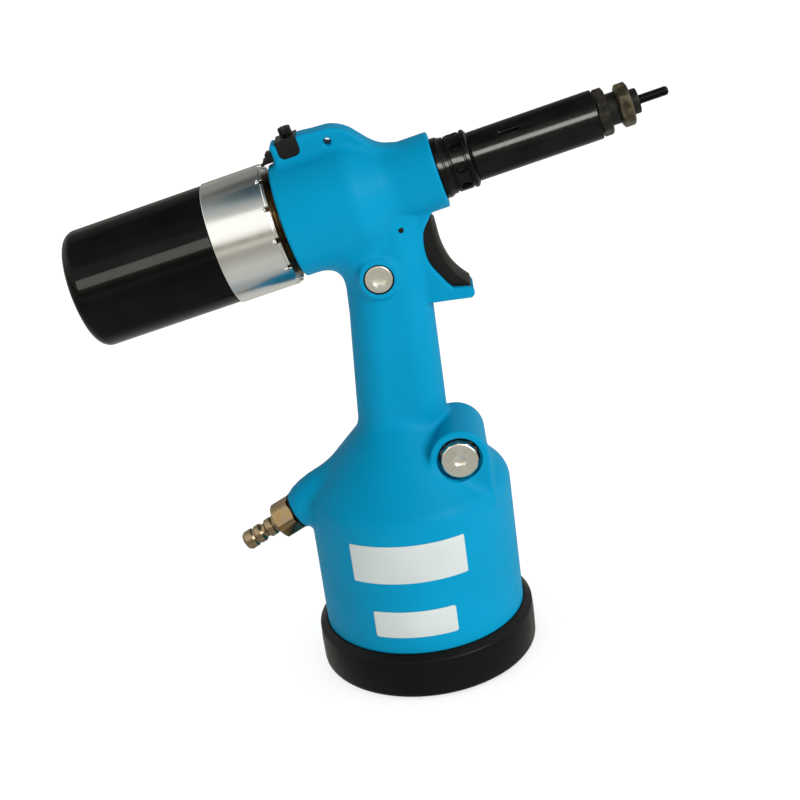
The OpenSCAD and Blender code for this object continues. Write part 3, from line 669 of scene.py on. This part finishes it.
def build_trigger():
    top = [(17, 247.4), (27, 247.2), (30.2, 246.9)]
    front = curve([(31.6, 245.6), (32.2, 241.5), (33.0, 235.8), (33.9, 231.6), (35.1, 227.8), (36.9, 223.6),
                   (39.2, 219.8), (42.4, 216), (46, 212.7)], 4)
    back = curve([(31, 212.2), (28.6, 215.4), (26.5, 219), (24.9, 223.4), (24, 228), (23.9, 232), (23.4, 236),
                  (20.6, 240), (17.2, 242)], 3)
    half, fall, slices = 7, 2.4, 12
    verts, faces = [], []
    for k in range(slices + 1):
        y = -half + 2 * half * k / slices
        sunk = fall * abs(y / half) ** 2.2
        line = []
        for i, (x, z) in enumerate(front):
            (ax, az), (bx, bz) = front[max(i - 1, 0)], front[min(i + 1, len(front) - 1)]
            tangent = math.hypot(bx - ax, bz - az)
            line.append((x + sunk * (bz - az) / tangent, z - sunk * (bx - ax) / tangent))
        ring = top + line + [(46.6 - 0.5 * sunk, 210), (46, 207.6), (37, 207.7)] + back
        verts += [(x, y, z) for x, z in ring]
    n = len(ring)
    for k in range(slices):
        here, there = k * n, (k + 1) * n
        faces += [[here + i, here + (i + 1) % n, there + (i + 1) % n, there + i] for i in range(n)]
    faces += [list(range(n))[::-1], list(range(slices * n, (slices + 1) * n))]
    body = make("trigger_lever", verts, faces)
    lug = lathe("cutter", [(0, -7), (3.4, -7), (3.4, 7), (0, 7)], PIN, 48)
    boolean(body, [lug], "UNION")
    boolean(body, [rod(PIN_R + 0.08, -9, 9, PIN, 32)])
    bevel(body, 0.9, 4, 40)
    stands_for(body, "trigger")
    low, high, r = reach(PIN, "trigger_pin")
    outline = rounded([(0, low), (r, low), (r, high), (0, high)], [0, 0.3, 0.3, 0], 3)
    stands_for(lathe("pivot_pin", outline, PIN, 48), "trigger_pin")


# ---- plugs and caps ----

def build_oil_plug():
    face = PLUG_FACE + 0.1
    head, end = face + 3.8, face + 9.9
    profile = rounded([(0, face), (7.2, face), (7.2, head), (5, head), (5, end), (0, end)],
                      [0, 0.6, 0.3, 0.2, 0.4, 0], 4)
    plug = lathe("fill_plug", profile, PLUG, 96)
    sink = lathe("cutter", [(0, face - 1), (4.6, face - 1), (3.5, face + 0.5), (0, face + 0.5)], PLUG, 64)
    socket = prism("cutter", ngon(6, 6, 0.3), face - 1, face + 3, PLUG)
    boolean(plug, [sink, socket])
    bevel(plug, 0.12, 2, 30)
    stands_for(plug, "oil_plug")
    outline = rounded([(7.25, face + 0.15), (7.8, face + 0.15), (7.8, head), (7.25, head)], 0.2, 3)
    stands_for(lathe("fill_plug_seal", outline, PLUG, 96), "oil_plug_seal")


def build_valve_cap():
    face, r = reach(VALVE, "valve_cap")[0], 9.9
    rim_r, rim = 10.7, -28
    profile = rounded([(0, face), (r - 0.8, face), (r, face + 0.6), (r, rim), (rim_r, rim), (rim_r, -21.1),
                       (4.2, -21.1), (4.2, -24), (0, -24)], [0, 0.15, 0.2, 0, 0.3, 0.2, 0, 0, 0], 3)
    cap = lathe("main_valve_cap", profile, VALVE, 96)
    sides = prism("cutter", ngon(18.9, 12), face - 1, rim, VALVE)
    boolean(sides, [rod(13, rim - 0.01, -20, VALVE, 64)], "UNION")
    boolean(cap, [sides], "INTERSECT")
    dimple = lathe("cutter", [(0, face - 1), (4.1, face - 1), (3.3, face), (2.9, face + 0.9),
                              (2.0, face + 1.4), (0, face + 1.5)], VALVE, 48)
    boolean(cap, [dimple])
    bevel(cap, 0.12, 2, 28)
    stands_for(cap, "valve_cap")
    seal_r, seal_out, seal_in = r + SEAT, rim - 1.6, rim - SEAT
    outline = rounded([(seal_r, seal_out), (rim_r, seal_out), (rim_r, seal_in), (seal_r, seal_in)], 0.35, 4)
    stands_for(lathe("main_valve_seal", outline, VALVE, 96), "valve_cap_seal")


# ---- air inlet ----

def build_inlet():
    washer = rounded([(6.7, 0.02), (10.2, 0.02), (10.2, 0.8), (6.7, 0.8)], 0.2, 3)
    stands_for(lathe("inlet_washer", washer, INLET, 96), "inlet_gasket")
    nut = hexagon("inlet_hex", 18.4, 10, 0.85, 12.8, INLET, 1.0, 4.4)
    stem = lathe("cutter", [(3.6, -12), (6.55, -12), (6.55, 1.6), (3.6, 1.6)], INLET, 64)
    boolean(nut, [stem], "UNION")
    stands_for(nut, "inlet_fitting")
    shape = rounded(
        [(3, 4), (4.3, 4), (4.3, 12.9), (5.6, 12.9), (5.6, 14.4), (4.3, 15.0), (5.2, 16.2), (5.2, 19.6),
         (4.0, 20.8), (4.0, 22.4), (5.2, 23.6), (5.2, 26.6), (4.5, 27.3), (4.5, 28), (5.3, 28.8),
         (5.3, 33), (4.4, 34.5), (3, 34.5)],
        [0, 0, 0, 0.3, 0.3, 0.3, 0.3, 0.4, 0.6, 0.6, 0.4, 0.4, 0.2, 0.2, 0.3, 0.4, 0.3, 0.3], 4)
    stands_for(lathe("air_tail", shape, INLET, 96), "inlet_nipple")


# ---- nose ----

def build_nose():
    end = BARREL_FRONT
    collar = lathe("nose_collar", rounded(
        [(9.5, 10.05), (12.95, 10.05), (12.95, end + 0.05), (15.6, end + 0.05), (15.6, 40.6), (15.0, 41.0),
         (15.0, 41.5), (14.6, 42), (14.6, 43.6), (13.9, 43.9), (13.9, 44.3), (14.6, 44.6), (14.6, 45),
         (11, 45), (11, 66), (9.5, 66)],
        [0.3, 0.4, 0, 0.5, 0.5, 0.1, 0.1, 0.3, 0.15, 0, 0, 0.15, 0.2, 0, 0.3, 0.3], 4), HEAD, 128)
    stands_for(collar, "nose_adapter")

    lock = lathe("nose_lock", rounded(
        [(11.05, 45.05), (14.6, 45.05), (14.6, 51.6), (14.1, 52), (14.1, 52.5), (14.9, 52.9), (14.9, 54.6),
         (12.8, 56), (11.05, 56)], [0.2, 0.5, 0.2, 0.1, 0.1, 0.3, 0.4, 0.2, 0.2], 4), HEAD, 128)
    holes = []
    for i in range(8):
        a = math.radians(i * 45)
        spoke = Axis(HEAD.world([(0, 0, 48.8)])[0], HEAD.x * math.cos(a) + HEAD.y * math.sin(a), HEAD.z)
        holes.append(rod(2.9, 8, 20, spoke, 32))
    boolean(lock, holes)
    bevel(lock, 0.15, 2, 40)
    stands_for(lock, "nose_lock_ring")

    low, high, r = reach(HEAD, "nose_sleeve")
    outline = [(11.05, low), (r, low), (r, high), (9.8, high), (9.8, 66.2), (11.05, 66.2)]
    sleeve = lathe("nose_tube", rounded(outline, [0.2, 0.5, 0.7, 0.2, 0, 0], 4), HEAD, 160)
    a = math.radians(-136)
    sight = Axis(HEAD.world([(0, 0, 76.5)])[0], HEAD.x * math.cos(a) + HEAD.y * math.sin(a), HEAD.z)
    slot = rounded([(-5.5, -2), (5.5, -2), (5.5, 2), (-5.5, 2)], 1.99, 8)
    boolean(sleeve, [prism("cutter", slot, 5, 20, sight)])
    bevel(sleeve, 0.15, 2, 40)
    stands_for(sleeve, "nose_sleeve")

    tip_bore = 6.45
    adapter = hexagon("tip_hex", 22, 12.2, 120.75, 126.5, HEAD, 0.9, tip_bore)
    outline = rounded([(tip_bore, 126), (8.1, 126), (8.1, 131.5), (tip_bore, 131.5)], [0, 0, 0.4, 0], 3)
    boolean(adapter, [lathe("cutter", outline, HEAD, 96)], "UNION")
    tail = lathe("cutter", [(tip_bore, 108), (9.75, 108), (9.75, 121), (tip_bore, 121)], HEAD, 96)
    boolean(adapter, [tail], "UNION")
    stands_for(adapter, "tip_adapter")

    nut = hexagon("tip_lock_nut", 20.4, 11.1, 131.55, 138.3, HEAD, 1.0, tip_bore)
    stands_for(nut, "lock_nut")

    low, high, r = reach(HEAD, "anvil")
    outline = rounded([(2.6, low), (r, low), (r, high), (2.6, high)], [0.2, 0.4, 1.0, 0.3], 4)
    stands_for(lathe("tip_anvil", outline, HEAD, 96), "anvil")


def build_mandrel():
    low, high, _ = reach(HEAD, "mandrel")
    stud = threaded("threaded_mandrel", HEAD, 2.5, 0.42, 0.8, 101, high, inner=0, tip=1.4)
    head = prism("cutter", ngon(8), low, 102, HEAD)
    boolean(stud, [head], "UNION", 30)
    stands_for(stud, "mandrel")


# ---- labels ----

def build_label(node, name, corner):
    """A thin foil plate that follows the air cylinder, with rounded corners."""
    p = node_points(node)
    angle = np.degrees(np.arctan2(p[:, 0], -p[:, 1]))
    left, right, z0, z1 = angle.min(), angle.max(), p[:, 2].min(), p[:, 2].max()
    r = CYL_R + 0.02
    w = math.radians(right - left) * r
    outline = rounded([(0, z0), (w, z0), (w, z1), (0, z1)], corner, 6)
    columns = 48
    flat = bmesh.new()
    base = [flat.verts.new((x, y, 0)) for x, y in outline]
    flat.faces.new(base)
    for k in range(1, columns):
        at = w * k / columns
        bmesh.ops.bisect_plane(flat, geom=flat.verts[:] + flat.edges[:] + flat.faces[:], plane_co=(at, 0, 0),
                               plane_no=(1, 0, 0))
    up = bmesh.ops.extrude_face_region(flat, geom=flat.faces[:])
    for v in up["geom"]:
        if isinstance(v, bmesh.types.BMVert):
            v.co.z = 0.28
    for v in flat.verts:
        a = math.radians(left) + v.co.x / r
        out = r + v.co.z
        v.co = Vector((out * math.sin(a), -out * math.cos(a), v.co.y)) * MM
    mesh = bpy.data.meshes.new(name)
    flat.to_mesh(mesh)
    flat.free()
    obj = bpy.data.objects.new(name, mesh)
    bpy.context.scene.collection.objects.link(obj)
    shade(obj, 40)
    bevel(obj, 0.08, 2, 50, 40)
    return stands_for(obj, node)


# ---- materials ----

def srgb(r, g, b):
    """Linear light of a colour given as 0 to 255 on screen."""
    shares = (c / 255 for c in (r, g, b))
    return tuple(c / 12.92 if c <= 0.04045 else ((c + 0.055) / 1.055) ** 2.4 for c in shares)


class Nodes:
    """Short names for making a material's nodes."""

    def __init__(self, name):
        self.mat = bpy.data.materials.new(name)
        self.mat.use_nodes = True
        self.tree = self.mat.node_tree
        self.bsdf = self.tree.nodes["Principled BSDF"]
        self.coords = self.add("ShaderNodeTexCoord").outputs["Object"]

    def add(self, kind, **values):
        node = self.tree.nodes.new(kind)
        for k, v in values.items():
            setattr(node, k, v)
        return node

    def link(self, a, b):
        self.tree.links.new(a, b)

    def noise(self, scale, detail, vector=None, rough=0.5):
        n = self.add("ShaderNodeTexNoise")
        n.inputs["Scale"].default_value = scale
        n.inputs["Detail"].default_value = detail
        n.inputs["Roughness"].default_value = rough
        self.link(vector or self.coords, n.inputs["Vector"])
        return n.outputs["Fac"]

    def remap(self, value, low, high, a=0.0, b=1.0):
        n = self.add("ShaderNodeMapRange")
        self.link(value, n.inputs["Value"])
        for key, v in zip(("From Min", "From Max", "To Min", "To Max"), (low, high, a, b)):
            n.inputs[key].default_value = v
        return n.outputs["Result"]

    def math(self, operation, a, b):
        n = self.add("ShaderNodeMath", operation=operation)
        for i, v in enumerate((a, b)):
            if isinstance(v, (int, float)):
                n.inputs[i].default_value = v
            else:
                self.link(v, n.inputs[i])
        return n.outputs[0]

    def mix(self, factor, a, b):
        n = self.add("ShaderNodeMix", data_type="RGBA")
        self.link(factor, n.inputs[0])
        for i, v in ((6, a), (7, b)):
            if isinstance(v, tuple):
                n.inputs[i].default_value = (*v, 1)
            else:
                self.link(v, n.inputs[i])
        return n.outputs[2]

    def along(self, axis, scale):
        """A coordinate that changes fast along an axis and slowly otherwise, for turned metal."""
        n = self.add("ShaderNodeVectorMath", operation="DOT_PRODUCT")
        self.link(self.coords, n.inputs[0])
        n.inputs[1].default_value = tuple(axis.z)
        c = self.add("ShaderNodeCombineXYZ")
        self.link(self.math("MULTIPLY", n.outputs["Value"], scale), c.inputs[0])
        spread = self.add("ShaderNodeVectorMath", operation="SCALE")
        self.link(self.coords, spread.inputs[0])
        spread.inputs["Scale"].default_value = 2
        total = self.add("ShaderNodeVectorMath", operation="ADD")
        self.link(c.outputs[0], total.inputs[0])
        self.link(spread.outputs[0], total.inputs[1])
        return total.outputs[0]

    def bump(self, height, strength, distance, normal=None):
        n = self.add("ShaderNodeBump")
        n.inputs["Strength"].default_value = strength
        n.inputs["Distance"].default_value = distance * MM
        self.link(height, n.inputs["Height"])
        if normal is not None:
            self.link(normal, n.inputs["Normal"])
        return n.outputs["Normal"]

    def edges(self, low, high):
        g = self.add("ShaderNodeNewGeometry")
        return self.remap(g.outputs["Pointiness"], low, high)


def surface(name, colour, metallic=0.0, rough=(0.4, 0.5), vary=0.06, grain=(900, 0.25, 0.02), patch=60,
            edge_wear_and_sheen=None, turned_on=None, specular=0.5):
    """One material: patchy colour, patchy roughness, fine grain, and convex edges given an edge colour in
    patches: real wear on the metal slots, a painted edge highlight on blue_coat.
    """
    m = Nodes(name)
    s = m.bsdf.inputs
    s["Metallic"].default_value = metallic
    s["Specular IOR Level"].default_value = specular
    patches = m.noise(patch, 4)
    dark = tuple(c * (1 - vary) for c in colour)
    light = tuple(min(1, c * (1 + vary) + 0.004 * vary) for c in colour)
    base = m.mix(m.remap(patches, 0.35, 0.65), dark, light)
    fine = m.noise(grain[0], 2)
    roughness = m.remap(m.noise(patch * 5, 5), 0.3, 0.7, *rough)
    if edge_wear_and_sheen:
        # Convex edges take the edge colour in patches: worn metal on the metal slots, a painted edge
        # highlight on blue_coat
        edge_wear_and_sheen_colour, low, high = edge_wear_and_sheen
        amount = m.math("MULTIPLY", m.edges(low, high), m.remap(m.noise(240, 4), 0.42, 0.62))
        base = m.mix(amount, base, edge_wear_and_sheen_colour)
    normal = m.bump(fine, grain[1], grain[2])
    if turned_on is not None:
        axis, depth = turned_on
        lines = m.noise(1, 2, m.along(axis, 9000), 0.6)
        normal = m.bump(lines, depth, 0.012, normal)
        roughness = m.math("ADD", roughness, m.remap(lines, 0.3, 0.7, -0.1 * depth, 0.2 * depth))
    m.link(base, s["Base Color"])
    m.link(roughness, s["Roughness"])
    m.link(normal, s["Normal"])
    return m.mat


def build_materials():
    return {
        # blue_coat's lighter blue on convex edges is a painted edge highlight, not worn paint
        "blue_coat": surface("blue_coat", srgb(0, 137, 178), rough=(0.42, 0.52), vary=0.035,
                             grain=(1500, 0.22, 0.03), patch=25, edge_wear_and_sheen=(srgb(0, 150, 190), 0.57, 0.72),
                             specular=0.05),
        "black_gloss": surface("black_gloss", srgb(5, 5, 5), rough=(0.06, 0.11), vary=0.2,
                               grain=(300, 0.06, 0.02), patch=40, specular=0.09),
        "turned_silver": surface("turned_silver", srgb(224, 223, 220), 1.0, (0.15, 0.21), 0.03,
                                 (700, 0.03, 0.01), 30, turned_on=(HEAD, 0.06)),
        "dark_thread": surface("dark_thread", srgb(104, 88, 62), 1.0, (0.26, 0.4), 0.35,
                               (900, 0.2, 0.01), 120),
        "black_oxide": surface("black_oxide", srgb(4, 4, 4), 0.0, (0.12, 0.19), 0.15,
                               (900, 0.10, 0.01), 80, edge_wear_and_sheen=(srgb(40, 38, 34), 0.6, 0.78),
                               turned_on=(HEAD, 0.10), specular=0.11),
        "grey_oxide": surface("grey_oxide", srgb(28, 27, 24), 0.2, (0.38, 0.5), 0.15,
                              (900, 0.25, 0.012), 90, edge_wear_and_sheen=(srgb(54, 50, 42), 0.6, 0.78), specular=0.2),
        "brown_oxide": surface("brown_oxide", srgb(50, 45, 32), 0.35, (0.36, 0.48), 0.2,
                               (700, 0.3, 0.015), 110, edge_wear_and_sheen=(srgb(92, 84, 62), 0.6, 0.78), specular=0.3),
        "boot_rubber": surface("boot_rubber", srgb(11, 12, 12), 0.0, (0.3, 0.4), 0.1,
                               (1100, 0.3, 0.03), 40, specular=0.1),
        "black_plastic": surface("black_plastic", srgb(15, 14, 13), 0.0, (0.3, 0.4), 0.12,
                                 (1600, 0.3, 0.02), 70, specular=0.25),
        "seal_rubber": surface("seal_rubber", srgb(9, 9, 9), 0.0, (0.4, 0.5), 0.1,
                               (900, 0.2, 0.01), 60, specular=0.2),
        "machined_steel": surface("machined_steel", srgb(176, 176, 178), 1.0, (0.25, 0.36), 0.05,
                                  (800, 0.1, 0.01), 60, turned_on=(HEAD, 0.35)),
        "bearing_steel": surface("bearing_steel", srgb(196, 198, 202), 1.0, (0.1, 0.16), 0.03,
                                 (500, 0.04, 0.01), 50),
        "plug_silver": surface("plug_silver", srgb(226, 223, 212), 1.0, (0.28, 0.38), 0.06,
                               (700, 0.2, 0.015), 140, edge_wear_and_sheen=(srgb(170, 158, 132), 0.6, 0.8)),
        "bare_aluminium": surface("bare_aluminium", srgb(196, 198, 200), 1.0, (0.3, 0.4), 0.04,
                                  (900, 0.15, 0.01), 50),
        "bronze": surface("bronze", srgb(176, 138, 84), 1.0, (0.26, 0.36), 0.08, (700, 0.12, 0.01), 70),
        "nickel_brass": surface("nickel_brass", srgb(146, 128, 100), 1.0, (0.16, 0.26), 0.1,
                                (600, 0.12, 0.012), 120, edge_wear_and_sheen=(srgb(150, 122, 78), 0.58, 0.72)),
        "spring_steel": surface("spring_steel", srgb(110, 110, 112), 1.0, (0.28, 0.38), 0.06,
                                (900, 0.1, 0.01), 60),
        "label_foil": surface("label_foil", srgb(204, 212, 210), 0.2, (0.3, 0.4), 0.03,
                              (500, 0.06, 0.01), 35, specular=0.3),
        "silencer_felt": surface("silencer_felt", srgb(150, 148, 138), 0.0, (0.85, 0.95), 0.15,
                                 (2200, 0.8, 0.2), 300),
        "vane_resin": surface("vane_resin", srgb(120, 84, 50), 0.0, (0.45, 0.55), 0.1,
                              (900, 0.2, 0.02), 150),
    }


def paint(materials):
    """Every shown piece takes its slot's material, and so does every CAD node."""
    for obj in bpy.context.scene.objects:
        if obj.type != "MESH" or obj.get("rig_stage"):
            continue
        name = obj.get("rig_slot") or SLOT_OF.get(obj.get("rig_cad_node"))
        obj.data.materials.clear()
        obj.data.materials.append(materials[name])


# ---- stage ----

CAMERA = dict(azimuth=1.806, elevation=22.151, roll=-7.951, lens=70.79)
CAMERA_AT = (26.0, -775.0, 463.6)
STRIP_COLOUR = (1, 0.97, 0.88)
# Each stop is a height from straight down (0) to straight up (1), and the colour that gloss reflects there
STUDIO_BANDS = [
    (0.0, (0.26, 0.3, 0.31)), (0.04, (0.46, 0.47, 0.46)), (0.15, (0.5, 0.5, 0.46)),
    (0.28, (0.36, 0.36, 0.33)), (0.37, (0.3, 0.29, 0.26)), (0.45, (0.6, 0.6, 0.54)),
    (0.52, (0.24, 0.21, 0.17)), (0.545, (0.3, 0.27, 0.22)), (0.6, (0.9, 0.9, 0.86)),
    (0.68, (1.06, 1.06, 1.02)), (0.85, (1.06, 1.06, 1.02)), (0.885, (0.46, 0.46, 0.44)),
    (0.94, (0.34, 0.37, 0.37)), (0.965, (0.08, 0.13, 0.15)), (1.0, (0.05, 0.09, 0.12))]


def build_camera():
    az, el, roll = (math.radians(CAMERA[k]) for k in ("azimuth", "elevation", "roll"))
    back = Vector((math.sin(az) * math.cos(el), -math.cos(az) * math.cos(el), math.sin(el)))
    right = Vector((math.cos(az), math.sin(az), 0))
    up = back.cross(right)
    x = right * math.cos(roll) + up * math.sin(roll)
    y = -right * math.sin(roll) + up * math.cos(roll)
    data = bpy.data.cameras.new("camera")
    data.sensor_width, data.lens = 36, CAMERA["lens"]
    data.clip_start, data.clip_end = 0.02, 20
    cam = bpy.data.objects.new("camera", data)
    m = Matrix((x, y, back)).transposed().to_4x4()
    m.translation = Vector(CAMERA_AT) * MM
    cam.matrix_world = m
    bpy.context.scene.collection.objects.link(cam)
    bpy.context.scene.camera = cam


def area(name, where, look, size, power, colour):
    data = bpy.data.lights.new(name, "AREA")
    data.shape, data.size, data.size_y = "RECTANGLE", size[0], size[1]
    data.energy, data.color = power, colour
    obj = bpy.data.objects.new(name, data)
    obj.location = where
    obj.rotation_euler = (Vector(look) - Vector(where)).to_track_quat("-Z", "Y").to_euler()
    bpy.context.scene.collection.objects.link(obj)
    return obj


def build_stage():
    half, level = 40, -0.0004
    corners = [(-half, -half, level), (half, -half, level), (half, half, level), (-half, half, level)]
    mesh = bpy.data.meshes.new("floor")
    mesh.from_pydata(corners, [], [(0, 1, 2, 3)])
    floor = bpy.data.objects.new("floor", mesh)
    bpy.context.scene.collection.objects.link(floor)
    m = Nodes("floor_paper")
    m.link(m.mix(m.remap(m.noise(3, 3), 0.3, 0.7), (0.90, 0.90, 0.90), (0.93, 0.93, 0.93)),
           m.bsdf.inputs["Base Color"])
    m.bsdf.inputs["Roughness"].default_value = 0.9
    mesh.materials.append(m.mat)
    floor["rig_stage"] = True

    floor.visible_glossy = False
    build_world()
    bpy.context.scene.view_settings.view_transform = "Standard"
    sun("key", azimuth=45, elevation=31, strength=2.45, spread=30, skips=[floor])
    sun("floor_light", azimuth=0, elevation=88, strength=2.4, spread=30, only=[floor])
    for slot, power in (("black_gloss", 28), ("black_oxide", 110)):
        strip = area(slot + "_strip", (-0.15, -1.5, 0.86), (-0.08, 0, 0.25), (1.9, 0.5), power, STRIP_COLOUR)
        linked(strip, only=[o for o in bpy.context.scene.objects if o.get("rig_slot") == slot])


def linked(light, only, skips=()):
    """Limits which pieces a light falls on."""
    chosen = bpy.data.collections.new(light.name + "_falls_on")
    for obj in (*only, *skips):
        chosen.objects.link(obj)
    for entry in chosen.collection_objects:
        entry.light_linking.link_state = "EXCLUDE" if skips else "INCLUDE"
    light.light_linking.receiver_collection = chosen


def sun(name, azimuth, elevation, strength, spread, only=(), skips=()):
    """A soft sun that shines from azimuth degrees to the right of the front, and from above."""
    data = bpy.data.lights.new(name, "SUN")
    data.energy, data.angle = strength, math.radians(spread)
    data.use_shadow = not only
    a, e = math.radians(azimuth), math.radians(elevation)
    towards = Vector((math.sin(a) * math.cos(e), -math.cos(a) * math.cos(e), math.sin(e)))
    obj = bpy.data.objects.new(name, data)
    obj.rotation_euler = (-towards).to_track_quat("-Z", "Y").to_euler()
    bpy.context.scene.collection.objects.link(obj)
    linked(obj, only, skips)


def build_world():
    """Even soft light all round, and a studio of dark and pale bands, dim above and behind, for gloss."""
    world = bpy.data.worlds.new("studio")
    world.use_nodes = True
    tree = world.node_tree
    soft = tree.nodes["Background"]
    soft.inputs["Color"].default_value = (1, 1, 1, 1)
    soft.inputs["Strength"].default_value = 0.45
    bands = tree.nodes.new("ShaderNodeBackground")
    bands.inputs["Strength"].default_value = 1.3
    backdrop = tree.nodes.new("ShaderNodeBackground")
    backdrop.inputs["Color"].default_value = (1, 1, 1, 1)
    seen = tree.nodes.new("ShaderNodeMixShader")
    behind = tree.nodes.new("ShaderNodeVectorMath")
    behind.operation = "DOT_PRODUCT"
    behind.inputs[1].default_value = (0, 0.707, 0.707)
    front = tree.nodes.new("ShaderNodeMapRange")
    for key, v in zip(("From Min", "From Max", "To Min", "To Max"), (0.5, 0.9, 1.0, 0.2)):
        front.inputs[key].default_value = v
    dimmed = tree.nodes.new("ShaderNodeVectorMath")
    dimmed.operation = "SCALE"
    ramp = tree.nodes.new("ShaderNodeValToRGB")
    split = tree.nodes.new("ShaderNodeSeparateXYZ")
    height = tree.nodes.new("ShaderNodeMapRange")
    coords = tree.nodes.new("ShaderNodeTexCoord")
    path = tree.nodes.new("ShaderNodeLightPath")
    mix = tree.nodes.new("ShaderNodeMixShader")
    height.inputs["From Min"].default_value = -1
    first, last = ramp.color_ramp.elements
    first.position, last.position = STUDIO_BANDS[0][0], STUDIO_BANDS[-1][0]
    for place, _ in STUDIO_BANDS[1:-1]:
        ramp.color_ramp.elements.new(place)
    for e, (_, colour) in zip(ramp.color_ramp.elements, STUDIO_BANDS):
        e.color = (*colour, 1)
    link = tree.links.new
    link(coords.outputs["Generated"], split.inputs[0])
    link(split.outputs["Z"], height.inputs["Value"])
    link(height.outputs["Result"], ramp.inputs["Fac"])
    link(coords.outputs["Generated"], behind.inputs[0])
    link(behind.outputs["Value"], front.inputs["Value"])
    link(ramp.outputs["Color"], dimmed.inputs[0])
    link(front.outputs["Result"], dimmed.inputs["Scale"])
    link(dimmed.outputs[0], bands.inputs["Color"])
    link(path.outputs["Is Glossy Ray"], mix.inputs[0])
    link(soft.outputs[0], mix.inputs[1])
    link(bands.outputs[0], mix.inputs[2])
    link(path.outputs["Is Camera Ray"], seen.inputs[0])
    link(mix.outputs[0], seen.inputs[1])
    link(backdrop.outputs[0], seen.inputs[2])
    link(seen.outputs[0], tree.nodes["World Output"].inputs["Surface"])
    bpy.context.scene.world = world


# ---- everything ----

build_casting()
build_boot()
build_cover()
build_ring()
build_thread_sleeve()
build_lock()
build_reverse()
build_trigger()
build_oil_plug()
build_valve_cap()
build_inlet()
build_nose()
build_mandrel()
build_label("upper_label", "label_upper", 0.8)
build_label("lower_label", "label_lower", 1.4)
paint(build_materials())
build_camera()
build_stage()
